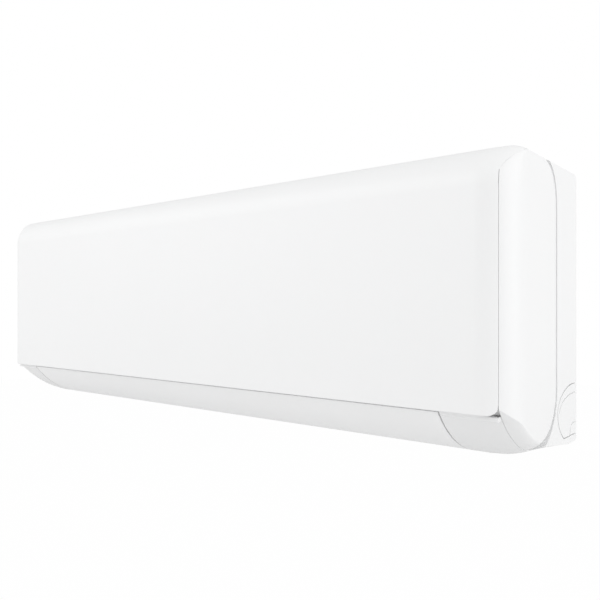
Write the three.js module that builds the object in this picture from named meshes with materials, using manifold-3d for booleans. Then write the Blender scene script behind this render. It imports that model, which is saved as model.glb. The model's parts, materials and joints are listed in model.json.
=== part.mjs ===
// Wall-mounted indoor unit of a mini split air conditioner.
// Millimetres, +Z up, +Y towards the wall. The origin is the middle of the wall plate's back face.
import * as THREE from 'three';
import { mergeVertices } from 'three/addons/utils/BufferGeometryUtils.js';
import Module from 'manifold-3d';

const wasm = await Module();
wasm.setup();

// ---- overall size of the casing ----
const unitLength = 900;
const unitHeight = 300;
const unitDepth = 200;
const seatGap = 0.3;              // between pieces that touch
const skinWall = 2.4;             // moulded casing wall
const panelWall = 2.6;
const wallClearance = 0.3;        // casing rim to the wall

// ---- form of the casing, as depths behind the front plane and heights from mid-height ----
const frontCornerRadius = 35;     // the ends curl back, seen from above
const topFrontRadius = 40;
const topRearRadius = 8;
const bottomRearRadius = 6;
const panelBottomHeight = -99;
const panelHem = 7.8;             // depth of the panel's lower edge
const lowerCurveRadius = 130;     // lower front, swept by the louver's skin
const lowerCurveDepth = 80;       // where that curve meets the flat bottom
const endRiseStart = 50;          // the bottom rises over this length at each end
const endRise = 13.5;

// ---- end caps ----
const capReach = 13.7;            // the cap stands this far out from the frame's side
const capWall = 2;
const capRearDepth = 131;
const capRearFillet = 10;
const capTopDrop = 4.6;
const capCornerDepth = 75;        // where the cap's rear corners start
const capUpperCorner = 95;
const capLowerCorner = -85;
const capCornerPower = 2.8;
const capGroove = 2;
const grooveWall = 2.4;
const sideInset = 2;              // rear casing sides lie this far inside the caps
const sideDrop = 3.4;             // the rear casing's top falls this far at its ends

// ---- panel hinges ----
const panelLip = 39;              // depth of the lip's rear edge
const panelCorner = 10;
const panelOverlap = 0.5;
const panelSeat = 0.4;            // between the panel and the corner behind it
const earCentre = [76, 114];      // above an arc about this point the panel's ends reach over the caps
const earRadii = [69, 36.5];
const hingeDepth = 40;
const hingeHeight = 146;
const hingePin = 1.6;
const hingeArmHalf = 2;
const hingeArmRoot = 9;
const hingeArmReach = 2.7;
const hingeSlack = 0.5;
const hingeEyeWall = 2.1;
const hingeEarHalf = 8;
const hingePlaces = [-420, -266, 266, 420];

// ---- frame ----
const frameRear = 117.7;          // the frame meets the rear casing under the caps
const beamDepth = 14;
const beamBottom = -97;
const beamTop = -66;
const railBottom = 141;
const railWall = 3;
const railSkirt = 0.2;

// ---- rear casing ----
const backWallDepth = 195.8;
const channelTop = -62;           // the pipe channel below is open to the wall
const pipeTop = -86;
const scrollFrom = 0.66;          // radians about the fan, counted up from the wall side
const scrollTo = -1.05;
const scrollNear = 60;
const scrollGrowth = 24;
const scrollSteps = 12;
const scrollLipDepth = 87;
const scrollLipHeight = -145.4;
const troughFront = 144;
const troughHeight = 36;
const ribPlaces = [-300, -100, 100, 300];
const saddleWall = 6;
const saddleRim = 8;
const saddleCorner = 12;
const crankHoleRadius = 4;
const firstSaddle = 390;
const knockCentre = [190, -112];  // the pipe knock-out is an arch about this point
const knockReach = 54.5;
const knockUpper = 27;
const knockLower = 36;
const knockBottom = -140;
const knockGap = 0.7;
const ringReach = 49.5;           // the smaller arch marked on its cover
const ringUpper = 18;
const drainArch = 24;
const drainArchHeight = 13;
const coverGroove = 1.4;
const grooveWidth = 1.2;

// ---- air path ----
const fanRadius = 47;
const fanDepth = 116;
const fanHeight = -8;
const fanBlades = 16;
const fanSections = 3;
const fanDisc = 2.5;
const bladeDepth = 12;
const bladeBow = 5.2;
const bladeWall = 1.2;
const bladeTip = 0.6;
const fanEyeRim = 3;
const fanBoss = 12;
const fanBossReach = 4;
const fanShaftRadius = 4;
const fanEndGap = 8;
const ductHalf = 377;             // inside of the duct's end walls
const ductWall = 2.4;

// ---- louver ----
const louverGap = 0.7;
const louverEndGap = 1.6;
const louverPivotDepth = 61;
const louverPivotHeight = -123;
const louverThickness = 7;
const louverPin = 3;
const pinClearance = 0.35;
const louverSteps = 9;
const louverEdge = 2.2;
const louverSweep = 33;
const lugWall = 3;
const pinReach = 7;

// ---- swing vanes ----
const vaneCount = 12;
const vanePitch = 58;
const vaneDepth = 100;
const vaneHeight = -81;
const vaneTilt = 0.745;           // the vane pivots lean back from upright, radians
const vaneChord = 28;
const vaneUpper = 24;
const vaneLower = 29;
const vaneWall = 2;
const vaneCorner = 3;
const crankDisc = 5;
const crankArmHalf = 2.5;
const stepperEar = 15;
const stepperEarHalf = 3.5;
const stepperEarWall = 0.8;
const stepperGap = 2;
const vanePin = 2;
const crankArm = 11;
const crankPin = 1.4;
const rodWidth = 5;
const rodThick = 2;
const rodSeat = 15;               // link rod's place along the vane, below its middle
const footReach = 5.5;
const railThick = 8;
const floorReach = 38.9 + 1.2;    // from the vane's middle to the far side of the outlet's floor
const crankStep = 40;
const crankShaft = 2;

// ---- heat exchanger ----
const coilHalf = 352;
const coilThick = 24;
const finGrooves = 24;
const finGrooveDepth = 2.5;
const tubeRadius = 3.5;
const footDepth = 50;             // a foot of each end plate stands on the pan's floor
const footWidth = 8;
const bendReach = 14;
const bendSteps = 3;
const plateWall = 1.5;
const tubePitch = 17;
const tubeRow = 5;                // the return bends lie this far from a slab's middle

// ---- intake grille and filters ----
const deckFront = 43.5;
const deckRear = 185.7;
const grilleFront = 51.5;
const grilleRear = 178.5;
const grilleHalf = 376;
const grilleTop = 145.2;
const grilleBar = 3;
const grilleBars = 6;
const grilleRibs = 4;
const filterThick = 3.6;
const filterRim = 6;
const grilleThick = 4;
const filterNet = 0.8;
const filterRib = 1.6;
const filterCells = 5;
const filterRows = 3;

// ---- wall plate ----
const plateHalf = 300;
const plateTop = 120;
const plateBottom = -60;
const wallPlateWall = 1.5;
const plateHole = 3;
const plateHoles = [[120, 60], [260, 60], [120, -40], [260, -40]];
const hookPlaces = [-250, -90, 90, 250];
const hookHalf = 7;
const hookHeight = 100;
const hookRise = 8;
const plateSlot = 12;

// ---- motors ----
const motorRadius = 40;
const motorStart = 385;
const motorLength = 46;
const stepperRadius = 12;
const stepperLength = 16;
const shaftSeat = 8;
const bearingWidth = 8;
const bearingSeat = 13;
const clampWidth = 6;
const clampWall = 2;
const clampFootHalf = 4.5;
const clampFootThick = 2.5;
const bearingOuter = 9;
const motorBoss = 16;
const motorNose = 14;
const motorTaper = 8;

// ---- drain pan and pipes ----
const panHalf = 376.4;
const panWall = 2.2;
const panFront = 20.5;
const panRear = 58;
const panRim = -50;
const endDrop = 1.5;              // the pan's end plates lie lower and further in than its walls
const endInset = 1;
const panFloor = -66;
const tongueDepth = 66;
const tongueHeight = -43;
const skirtLine = [[63, -68], [32, -90], [22, -95]];   // the outlet's upper wall, below the tongue
const spoutWall = 1.6;
const drainDepth = 32;
const drainHeight = -60;
const drainRadius = 5;
const spoutReach = 14;
const channelDepth = 180;
const gasRadius = 8;
const liquidRadius = 3.6;
const gasChannel = -98;
const liquidChannel = -122;
const gasEnd = 40;
const liquidEnd = 90;
const gasTurn = 407;
const pipeHole = 9;
const nutWidth = 16;
const gasNut = 14;
const liquidNut = 9;
const gasBend = 14;
const liquidBend = 10;
const nutFloor = 4;

// ---- electrics ----
const boxFront = 22;
const boxRear = 66;
const boxBottom = -88;
const boxTop = 100;
const boxWall = 2;
const boardSeat = 6;
const boardWall = 1.6;
const relayWidth = 17;
const relayHeight = 14;
const relayTall = 14;
const canRadius = 7;
const canHeight = 20;
const wellWidth = 7;
const wellPitch = 10;
const wells = 4;
const displayStart = 280;
const displayBottom = -90;
const displayLength = 74;
const displayHeight = 22;
const buttonRadius = 4;
const buttonPlace = 395;
const buttonHeight = -80;
const buttonFront = 10.5;
const buttonFlange = 1;
const buttonRim = 1.2;

// ================= helpers =================

const halfLength = unitLength / 2;
const halfHeight = unitHeight / 2;
const rearDepth = unitDepth - wallClearance;
const capRim = halfLength - capReach;
const frameHalf = capRim - seatGap;                  // outer face of the frame's sides
const panelHalf = frameHalf;
const sideHalf = halfLength - sideInset;             // outer face of the rear casing's sides
const liquidTurn = frameHalf - skinWall - seatGap - liquidRadius;   // the pipe runs down along the motor's saddle
const saddlePlaces = [firstSaddle, liquidTurn - liquidRadius - seatGap - saddleWall];
const far = 2 * unitLength;
const flatness = 0.015;           // facets flatter than this are merged

function toSolid(geometry) {
  const bare = geometry.clone();
  bare.deleteAttribute('normal');
  bare.deleteAttribute('uv');
  const merged = mergeVertices(bare, 1e-4);
  const mesh = new wasm.Mesh({
    numProp: 3,
    vertProperties: new Float32Array(merged.attributes.position.array),
    triVerts: new Uint32Array(merged.index.array),
  });
  return new wasm.Manifold(mesh);
}

function toGeometry(solid) {
  const mesh = solid.asOriginal().simplify(flatness).getMesh();
  const geometry = new THREE.BufferGeometry();
  geometry.setAttribute('position', new THREE.BufferAttribute(new Float32Array(mesh.vertProperties), 3));
  geometry.setIndex(new THREE.BufferAttribute(new Uint32Array(mesh.triVerts), 1));
  geometry.computeVertexNormals();
  return geometry;
}

const join = (solids) => solids.reduce((sum, solid) => sum.add(solid));
const cut = (solid, tools) => tools.reduce((rest, tool) => rest.subtract(tool), solid);

// A closed outline of [depth, height] points, extruded from x0 to x1.
function prism(outline, x0, x1) {
  const corners = outline.map(([depth, height]) => new THREE.Vector2(depth - unitDepth, height));
  const shape = new THREE.Shape(corners);
  const geometry = new THREE.ExtrudeGeometry(shape, { depth: x1 - x0, bevelEnabled: false });
  const axes = new THREE.Matrix4().makeBasis(
    new THREE.Vector3(0, 1, 0), new THREE.Vector3(0, 0, 1), new THREE.Vector3(1, 0, 0));
  geometry.applyMatrix4(axes);
  geometry.translate(x0, 0, 0);
  return toSolid(geometry);
}

// A block between two lengths, two depths and two heights.
function block(x0, x1, d0, d1, z0, z1) {
  const geometry = new THREE.BoxGeometry(x1 - x0, d1 - d0, z1 - z0);
  geometry.translate((x0 + x1) / 2, (d0 + d1) / 2 - unitDepth, (z0 + z1) / 2);
  return toSolid(geometry);
}

// A round bar along X.
function barX(x0, x1, depth, height, radius, sides = 24) {
  const geometry = new THREE.CylinderGeometry(radius, radius, x1 - x0, sides);
  geometry.rotateZ(-Math.PI / 2);
  geometry.translate((x0 + x1) / 2, depth - unitDepth, height);
  return toSolid(geometry);
}

// A band of the given thickness on both sides of an open line of [depth, height] points.
function band(line, thick) {
  const points = line.map(([depth, height]) => new THREE.Vector2(depth, height));
  const offset = (side) => points.map((point, i) => {
    const before = points[Math.max(i - 1, 0)];
    const after = points[Math.min(i + 1, points.length - 1)];
    const first = point.clone().sub(before).normalize();
    const second = after.clone().sub(point).normalize();
    if (i === 0) first.copy(second);
    if (i === points.length - 1) second.copy(first);
    const normal = first.clone().add(second).normalize();
    const reach = side * thick / 2 / Math.max(normal.dot(second), 0.3);
    return [point.x - normal.y * reach, point.y + normal.x * reach];
  });
  return [...offset(1), ...offset(-1).reverse()];
}

// A closed body through outlines of equal length, one for each station along X.
function loft(stations, outlineAt) {
  const rings = stations.map((x) => outlineAt(x).map(([depth, height]) => [x, depth - unitDepth, height]));
  const count = rings[0].length;
  const positions = rings.flat(2);
  const index = [];
  for (let s = 0; s < rings.length - 1; s += 1) {
    for (let i = 0; i < count; i += 1) {
      const a = s * count + i;
      const b = s * count + (i + 1) % count;
      index.push(a, b, b + count, a, b + count, a + count);
    }
  }
  const closeEnd = (ring, start, flip) => {
    const flat = ring.map(([, y, z]) => new THREE.Vector2(y, z));
    for (const [a, b, c] of THREE.ShapeUtils.triangulateShape(flat, [])) {
      index.push(start + a, start + (flip ? c : b), start + (flip ? b : c));
    }
  };
  closeEnd(rings[0], 0, true);
  closeEnd(rings[rings.length - 1], (rings.length - 1) * count, false);
  const geometry = new THREE.BufferGeometry();
  geometry.setAttribute('position', new THREE.BufferAttribute(new Float32Array(positions), 3));
  geometry.setIndex(index);
  return toSolid(geometry);
}

function arcPoints(centre, radii, from, to, steps, power = 2) {
  const points = [];
  for (let i = 0; i <= steps; i += 1) {
    const angle = from + (to - from) * i / steps;
    const c = Math.cos(angle);
    const s = Math.sin(angle);
    const x = Math.sign(c) * Math.abs(c) ** (2 / power);
    const y = Math.sign(s) * Math.abs(s) ** (2 / power);
    points.push([centre[0] + radii[0] * x, centre[1] + radii[1] * y]);
  }
  return points;
}

const quarter = Math.PI / 2;
const mirrored = (solid) => solid.mirror([1, 0, 0]);

// ================= form of the casing =================

const roundInset = (radius, run) => (run <= 0 ? 0 : radius - Math.sqrt(Math.max(radius ** 2 - run ** 2, 0)));
const frontInset = (x) => roundInset(frontCornerRadius, Math.abs(x) - (halfLength - frontCornerRadius));
const riseRadius = (endRiseStart ** 2 + endRise ** 2) / (2 * endRise);
const bottomRise = (x) => roundInset(riseRadius, Math.abs(x) - (halfLength - endRiseStart));

// The lower curve's centre: it passes through the panel's hem and the front of the flat bottom.
const lowerStart = [panelHem, panelBottomHeight - 1.2];
const lowerEnd = [lowerCurveDepth, -halfHeight + 0.7];
const lowerChord = Math.hypot(lowerEnd[0] - lowerStart[0], lowerEnd[1] - lowerStart[1]);
const lowerRun = Math.sqrt(lowerCurveRadius ** 2 - lowerChord ** 2 / 4) / lowerChord;
const lowerCentre = [
  (lowerStart[0] + lowerEnd[0]) / 2 - (lowerEnd[1] - lowerStart[1]) * lowerRun,
  (lowerStart[1] + lowerEnd[1]) / 2 + (lowerEnd[0] - lowerStart[0]) * lowerRun,
];
const lowerCurve = (depth, inset = 0) =>
  lowerCentre[1] - Math.sqrt((lowerCurveRadius - inset) ** 2 - (depth - lowerCentre[0]) ** 2);

// Outline of the whole casing at x, drawn inwards by inset. The back may be set on its own.
function casingOutline(x, inset, back = rearDepth - inset) {
  const front = frontInset(x) + inset;
  const rise = bottomRise(x);
  const hem = Math.max(panelHem, front + 0.6);
  const top = halfHeight - inset - sideDrop * (Math.max(Math.abs(x) - capRim, 0) / (sideHalf - capRim)) ** 2;
  const bottom = -halfHeight + inset;
  const onCurve = (depth) => [depth, Math.max(lowerCurve(depth, inset), bottom) + rise];
  const cornerHeight = frontInset(x) < panelHem ? panelBottomHeight + inset : lowerCurve(front, inset) + rise;
  const spread = Math.max(inset, 0);
  const lower = [0.25, 0.5, 0.75, 1].map((share) => onCurve(hem + (lowerCurveDepth - hem) * share));
  const rearFlat = bottom + rise * 0.1;
  const cornerSize = Math.max(topRearRadius - spread, 1);
  const lowerSize = Math.max(bottomRearRadius - spread, 1);
  return [
    [front, Math.max(cornerHeight, bottom)],
    [hem, Math.max(lowerCurve(hem, inset), bottom) + rise],
    ...lower,
    [unitDepth - 30, rearFlat],
    ...arcPoints([back - lowerSize, rearFlat + lowerSize], [lowerSize, lowerSize], -quarter, 0, 2),
    ...arcPoints([back - cornerSize, top - cornerSize], [cornerSize, cornerSize], 0, quarter, 3),
    ...arcPoints([topFrontRadius, halfHeight - topFrontRadius],
      [topFrontRadius - front, topFrontRadius + top - halfHeight], quarter, 2 * quarter, 6),
  ];
}

const endShares = [0, 0.3, 0.55, 0.75, 1];
const endStations = endShares.map((share) => halfLength - endRiseStart + (endRiseStart - sideInset) * share);
const casingStations = [...endStations.map((x) => -x).reverse(), ...endStations];
const casing = (inset, back) => loft(casingStations, (x) => casingOutline(x, inset, back));
const casingSolid = casing(0);
const casingSkin = casingSolid.subtract(casing(skinWall, unitDepth + 20).subtract(block(
  -sideHalf - 1, -sideHalf + skinWall, -1, unitDepth + 30, -far, far)).subtract(block(
  sideHalf - skinWall, sideHalf + 1, -1, unitDepth + 30, -far, far)));

// Outline of an end cap at x, drawn inwards by inset.
function capOutline(x, inset) {
  const run = Math.max(Math.abs(x) - capRim, 0);
  const front = frontInset(x) + inset;
  const rear = capRearDepth - roundInset(capRearFillet, Math.abs(x) - (halfLength - capRearFillet)) - inset;
  const top = halfHeight - capTopDrop * (run / capReach) ** 2 - inset;
  const rise = bottomRise(x);
  const onCurve = (depth) => [depth, lowerCurve(depth, inset) + rise];
  const lowerReach = capLowerCorner - onCurve(capCornerDepth)[1];
  const lower = [0, 0.2, 0.4, 0.6, 0.8].map((share) => onCurve(front + (capCornerDepth - front) * share));
  return [
    ...lower,
    ...arcPoints([capCornerDepth, capLowerCorner], [rear - capCornerDepth, lowerReach], -quarter, 0, 5),
    ...arcPoints([capCornerDepth, capUpperCorner], [rear - capCornerDepth, top - capUpperCorner],
      0, quarter, 6, capCornerPower),
    ...arcPoints([topFrontRadius, halfHeight - topFrontRadius],
      [topFrontRadius - front, topFrontRadius + top - halfHeight], quarter, 2 * quarter, 5),
  ];
}

// ================= casing pieces =================

// What lies above the ear's arc, raised by lift, from the front back to the given depth.
function aboveEar(rear, lift) {
  const centre = [earCentre[0], earCentre[1] + lift];
  const turn = Math.acos((earCentre[0] - rear) / earRadii[0]);
  const line = arcPoints(centre, earRadii, 2 * quarter, 2 * quarter - turn, 8);
  return prism([[-5, far], [-5, centre[1]], ...line, [rear, far]], -halfLength - 1, halfLength + 1);
}

function capShell() {
  const outerShares = [0, 0.4, 0.7, 0.88, 1];
  const body = loft(outerShares.map((share) => capRim + capReach * share), (x) => capOutline(x, 0));
  const hollowReach = capReach - capWall;
  const innerShares = [-0.1, 0.5, 1];
  const hollow = loft(innerShares.map((share) => capRim + hollowReach * share),
    (x) => capOutline(x + capWall * (x - capRim) / capReach, capWall));
  return body.subtract(hollow);
}

const shellOfCap = capShell();
const endCap = () => shellOfCap.subtract(aboveEar(deckFront, 0));
const panelEar = () => shellOfCap.intersect(aboveEar(panelLip, seatGap));

const rimPrism = (grow, x0, x1) => prism(capOutline(capRim, -grow), x0, x1);

function hingeNotch(x) {
  return block(x - hingeEarHalf - 2, x + hingeEarHalf + 2, hingeDepth - 4.7, hingeDepth + 4,
    hingeHeight - 6, halfHeight + 1);
}

// The front panel: the casing's front skin with a hem below and a lip over the top.
function frontPanel() {
  const reach = capRim + panelOverlap;
  const region = block(-panelHalf, panelHalf, -5, panelLip, panelBottomHeight - 0.2, far)
    .add(block(-reach, reach, -5, panelLip, 0, far).intersect(aboveEar(panelLip, seatGap)));
  const corner = new THREE.Shape();
  const low = panelBottomHeight - 1;
  corner.moveTo(panelHalf + 1, low);
  corner.lineTo(panelHalf + 1, low + panelCorner);
  corner.lineTo(panelHalf, low + panelCorner);
  corner.absarc(panelHalf - panelCorner, low + 1 + panelCorner, panelCorner, 0, -quarter, true);
  corner.lineTo(panelHalf - panelCorner, low);
  const cutter = new THREE.ExtrudeGeometry(corner, { depth: 80, bevelEnabled: false, curveSegments: 6 });
  cutter.rotateX(quarter);
  cutter.translate(0, 60 - unitDepth, 0);
  const cornerCut = toSolid(cutter);
  const lipHem = block(-panelHalf + 12, panelHalf - 12, panelLip - panelWall, panelLip,
    halfHeight - 8, halfHeight - 1);
  let shell = casingSolid.intersect(region).subtract(casing(panelWall, unitDepth + 20)).add(lipHem);
  shell = cut(shell, [cornerCut, mirrored(cornerCut), ...hingePlaces.map(hingeNotch)]);
  const arm = [
    [hingeDepth - hingeArmRoot, halfHeight - 1],
    [hingeDepth - hingeArmRoot, hingeHeight - 5],
    [hingeDepth - 2, hingeHeight - 3.2],
    [hingeDepth + 1, hingeHeight - hingeArmReach],
    [hingeDepth + hingeArmReach, hingeHeight],
    [hingeDepth, hingeHeight + hingeArmReach],
    [hingeDepth - 5, halfHeight - 1],
  ];
  const arms = hingePlaces.flatMap((x) => [
    prism(arm, x - hingeArmHalf, x + hingeArmHalf),
    barX(x - hingeEarHalf + hingeSlack, x + hingeEarHalf - hingeSlack, hingeDepth, hingeHeight, hingePin, 10),
  ]);
  const ear = panelEar();
  return join([shell, ear, mirrored(ear), ...arms]);
}

// Ears on the deck's front rail, each pair with a bore for one of the panel's pins.
function hingeEars(x) {
  const ear = (x0, x1) => join([
    barX(x0, x1, hingeDepth, hingeHeight, hingePin + hingeEyeWall, 10),
    block(x0, x1, hingeDepth - 1, deckFront + 1, hingeHeight - 4, hingeHeight - 0.6),
  ]);
  const start = hingeArmHalf + hingeSlack;
  const boreRadius = hingePin + pinClearance;
  const bore = barX(x - hingeEarHalf - 1, x + hingeEarHalf + 1, hingeDepth, hingeHeight, boreRadius, 10);
  return join([ear(x - hingeEarHalf, x - start), ear(x + start, x + hingeEarHalf)]).subtract(bore);
}

// Front frame: deck round the intake, sides under the caps, lower corners and the beam over the outlet.
function frontFrame() {
  const rearEdge = frameRear;
  const panelInside = casing(panelWall);
  const behindPanel = panelInside.translate([0, panelSeat, panelSeat]).intersect(panelInside);
  const side = behindPanel.intersect(
    block(frameHalf - skinWall, frameHalf, 0, rearEdge, -far, halfHeight - skinWall - 0.7));
  const sideTop = block(frameHalf - skinWall, frameHalf, deckFront, rearEdge, halfHeight - 6, halfHeight);
  const sideLow = casingSolid.intersect(
    block(frameHalf - skinWall, frameHalf, 0, rearEdge, -far, panelBottomHeight - 5));
  const deck = block(-frameHalf, frameHalf, deckFront, deckRear, halfHeight - skinWall, halfHeight);
  const rimOuter = block(-grilleHalf - railWall, grilleHalf + railWall, grilleFront - railWall,
    grilleRear + railWall, grilleTop - grilleThick - railSkirt, halfHeight);
  const intake = block(-grilleHalf - seatGap, grilleHalf + seatGap, grilleFront - seatGap,
    grilleRear + seatGap, 0, far);
  const rails = [
    block(-frameHalf, frameHalf, deckFront, deckFront + railWall, railBottom, halfHeight),
    rimOuter.subtract(intake),
  ];
  const low = casingSkin.intersect(
    block(-frameHalf, frameHalf, panelHem + seatGap, rearEdge, -far, panelBottomHeight - 0.9));
  const beam = block(-frameHalf + 2, frameHalf - 2, beamDepth, beamDepth + skinWall, beamBottom, beamTop);
  const ledge = block(ductHalf + ductWall + seatGap, frameHalf - 1, panelHem + 2, beamDepth + 8,
    panelBottomHeight - 5.5, panelBottomHeight - 1.5);
  const tie = block(ductHalf + 3, ductHalf + 6, beamDepth, beamDepth + 5, panelBottomHeight - 5, beamTop);
  const outlet = prism([[0, panelBottomHeight], [lowerCurveDepth + 0.8, panelBottomHeight],
    [lowerCurveDepth + 0.8, -far], [0, -far]], -ductHalf, ductHalf);
  const sweep = barX(-ductHalf, ductHalf, louverPivotDepth, louverPivotHeight, louverSweep, 32);
  const cornerFill = behindPanel.intersect(
    block(frameHalf - 2.6 * panelCorner, frameHalf, 0, beamDepth + 1, panelBottomHeight,
      panelBottomHeight + 1.5 * panelCorner));
  const halves = [side, cornerFill, sideTop, sideLow, ledge, tie];
  const body = join([...halves, ...halves.map(mirrored),
    deck.subtract(intake), ...rails, low.subtract(outlet).subtract(sweep), beam,
    ...hingePlaces.map(hingeEars)]);
  const holeRadius = buttonRadius + pinClearance;
  const buttonHole = new THREE.CylinderGeometry(holeRadius, holeRadius, 20, 12);
  buttonHole.translate(buttonPlace, beamDepth - unitDepth, buttonHeight);
  return body.subtract(toSolid(buttonHole));
}

// Scroll wall behind the fan: a spiral, then a straight wall to the outlet.
function scrollLine() {
  const points = [];
  for (let i = 0; i <= scrollSteps; i += 1) {
    const share = i / scrollSteps;
    const angle = scrollFrom - (scrollFrom - scrollTo) * share;
    const radius = scrollNear + scrollGrowth * share ** 1.5;
    points.push([fanDepth + radius * Math.cos(angle), fanHeight + radius * Math.sin(angle)]);
  }
  points.push([scrollLipDepth, scrollLipHeight]);
  return points;
}

function rearCasing() {
  const beyond = unitDepth + 20;
  const region = join([
    block(-sideHalf, sideHalf, frameRear + seatGap, beyond, -far, halfHeight - 12),
    block(-sideHalf, sideHalf, deckRear + seatGap, beyond, 0, far),
    block(frameHalf + seatGap, sideHalf, capCornerDepth, beyond, -far, far),
    block(-sideHalf, -frameHalf - seatGap, capCornerDepth, beyond, -far, far),
  ]);
  const openBack = block(-sideHalf + skinWall, sideHalf - skinWall, backWallDepth, beyond,
    -halfHeight + skinWall, halfHeight - skinWall);
  const groove = rimPrism(capGroove, frameHalf + seatGap / 2, far);
  const web = rimPrism(capGroove + grooveWall, frameHalf - skinWall, sideHalf)
    .subtract(rimPrism(capGroove, frameHalf - skinWall - 1, sideHalf + 1))
    .intersect(join([
      block(frameHalf + seatGap, sideHalf, capCornerDepth, beyond, -far, far),
      block(frameHalf - skinWall, sideHalf, frameRear + seatGap, beyond, -far, far)]))
    .intersect(casing(0.4));
  const flange = casing(skinWall + 0.6).intersect(block(frameHalf - skinWall, frameHalf,
    frameRear + seatGap, capRearDepth + capGroove + grooveWall, -far, halfHeight - 8));
  const skin = cut(casingSkin.intersect(region), [openBack, groove, mirrored(groove)]);
  const back = block(-sideHalf + 1, sideHalf - 1, backWallDepth, backWallDepth + skinWall,
    channelTop, halfHeight - 1).intersect(casing(0.4));
  const corner = block(ductHalf, sideHalf - 1, backWallDepth, backWallDepth + skinWall, pipeTop,
    channelTop + 1);
  const line = scrollLine();
  const scroll = prism(band(line, skinWall), -ductHalf - 1, ductHalf + 1);
  const inside = prism([...line, [fanDepth - 20, fanHeight - 60], [fanDepth, fanHeight + 30]],
    -ductHalf, ductHalf);
  const trough = prism(band([[troughFront, troughHeight + 6], [troughFront, troughHeight],
    [backWallDepth + 1, troughHeight]], skinWall), -ductHalf - 1, ductHalf + 1);
  const rib = (x) => block(x, x + skinWall, fanDepth + 40, backWallDepth + 1, channelTop, troughHeight)
    .subtract(inside);
  const ribs = ribPlaces.map(rib);
  const partition = casing(skinWall + 0.8).intersect(
    block(ductHalf, ductHalf + ductWall, beamDepth + skinWall + 2, backWallDepth + 1, -far, grilleTop - 6));
  const saddleReach = motorRadius + saddleRim;
  const saddle = [
    [fanDepth - saddleReach, fanHeight],
    [fanDepth - saddleReach, fanHeight - saddleCorner],
    [fanDepth - saddleCorner, fanHeight - saddleReach],
    [backWallDepth + 1, fanHeight - saddleReach],
    [backWallDepth + 1, fanHeight],
  ];
  const seat = (x) => prism(saddle, x, x + saddleWall).subtract(
    barX(x - 1, x + saddleWall + 1, fanDepth, fanHeight, motorRadius + seatGap, 20));
  const hookSlots = hookPlaces.map((x) => block(x - hookHalf - 1, x + hookHalf + 1, backWallDepth - 1,
    beyond, hookHeight - 8, hookHeight + wallPlateWall + seatGap));
  const crankBore = new THREE.CylinderGeometry(crankHoleRadius, crankHoleRadius, 20, 16);
  crankBore.rotateX(quarter);
  crankBore.translate(0, 0, -floorReach);
  const crankHole = vaneFrame(crankBore, crankPlace);
  const body = join([skin, web, mirrored(web), flange, mirrored(flange), back, corner, mirrored(corner),
    scroll, trough, ...ribs, partition, mirrored(partition), ...saddlePlaces.map(seat)]);
  const pin = louverPin + pinClearance;
  const holes = [
    barX(ductHalf - 1, ductHalf + 5, fanDepth, fanHeight, fanShaftRadius + 3, 20),
    barX(-ductHalf - 5, -ductHalf + 1, fanDepth, fanHeight, bearingSeat, 16),
    barX(-ductHalf - 5, ductHalf + 5, louverPivotDepth, louverPivotHeight, pin, 16),
    barX(ductHalf - 1, ductHalf + 5, ...gasStart, pipeHole, 16),
    barX(ductHalf - 1, ductHalf + 5, ...liquidStart, pipeHole, 16),
    barX(ductHalf - 1, ductHalf + 5, channelDepth, gasChannel, pipeHole, 20),
    barX(ductHalf - 1, ductHalf + 5, channelDepth, liquidChannel, pipeHole, 20),
    barX(-ductHalf - 5, -ductHalf + 1, drainDepth, drainHeight, drainRadius + 1, 20),
    knockArch(knockGap, sideHalf - 4, far), mirrored(knockArch(knockGap, sideHalf - 4, far)),
    toSolid(crankHole),
  ];
  return cut(body, [...holes, ...hookSlots]);
}

// A closed outline in the side's rear lower corner, from x0 to x1, that runs out through the wall side.
const toWall = (line, x0, x1) => prism(
  [[unitDepth + 1, line[0][1]], ...line, [unitDepth + 1, line[line.length - 1][1]]], x0, x1);

// The pipe knock-out's arch, drawn outwards by grow.
function knockArch(grow, x0, x1) {
  const bottom = knockBottom - grow;
  const drop = Math.asin((knockCentre[1] - bottom) / (knockLower + grow));
  return toWall([
    ...arcPoints(knockCentre, [knockReach + grow, knockLower + grow], 2 * quarter + drop, 2 * quarter, 5),
    ...arcPoints(knockCentre, [knockReach + grow, knockUpper + grow], 2 * quarter, quarter, 8).slice(1),
  ], x0, x1);
}

// The knock-out's cover, with the smaller arch and the little drain arch as grooves.
function pipeHoleCover() {
  const cover = knockArch(0, sideHalf - skinWall, sideHalf).intersect(
    block(sideHalf - skinWall, sideHalf, 0, rearDepth, -far, far));
  const floor = sideHalf - coverGroove;
  const upper = (shrink, drop, x0) => toWall([[knockCentre[0] - ringReach + shrink, knockCentre[1] - drop],
    ...arcPoints(knockCentre, [ringReach - shrink, ringUpper - shrink], 2 * quarter, quarter, 8)], x0, far);
  const small = (shrink, drop, x0) => toWall([[unitDepth - drainArch + shrink, knockBottom - 2 - drop],
    ...arcPoints([unitDepth - drainArchHeight + shrink, knockBottom],
      [drainArch - drainArchHeight, drainArchHeight - shrink], 2 * quarter, quarter, 5)], x0, far);
  return cut(cover, [
    upper(0, 0, floor).subtract(upper(grooveWidth, 1, floor - 1)),
    small(0, 0, floor).subtract(small(grooveWidth, 1, floor - 1)),
  ]);
}

// The heat exchanger's three slabs, as lines of [depth, height] from end to end.
const slabs = [
  { name: 'evaporator_front', from: [42, -58], to: [42, 62] },
  { name: 'evaporator_upper', from: [50, 66], to: [98, 130] },
  { name: 'evaporator_rear', from: [119, 122], to: [160.6, 53.7] },
];

// ================= louver and vanes =================

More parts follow.
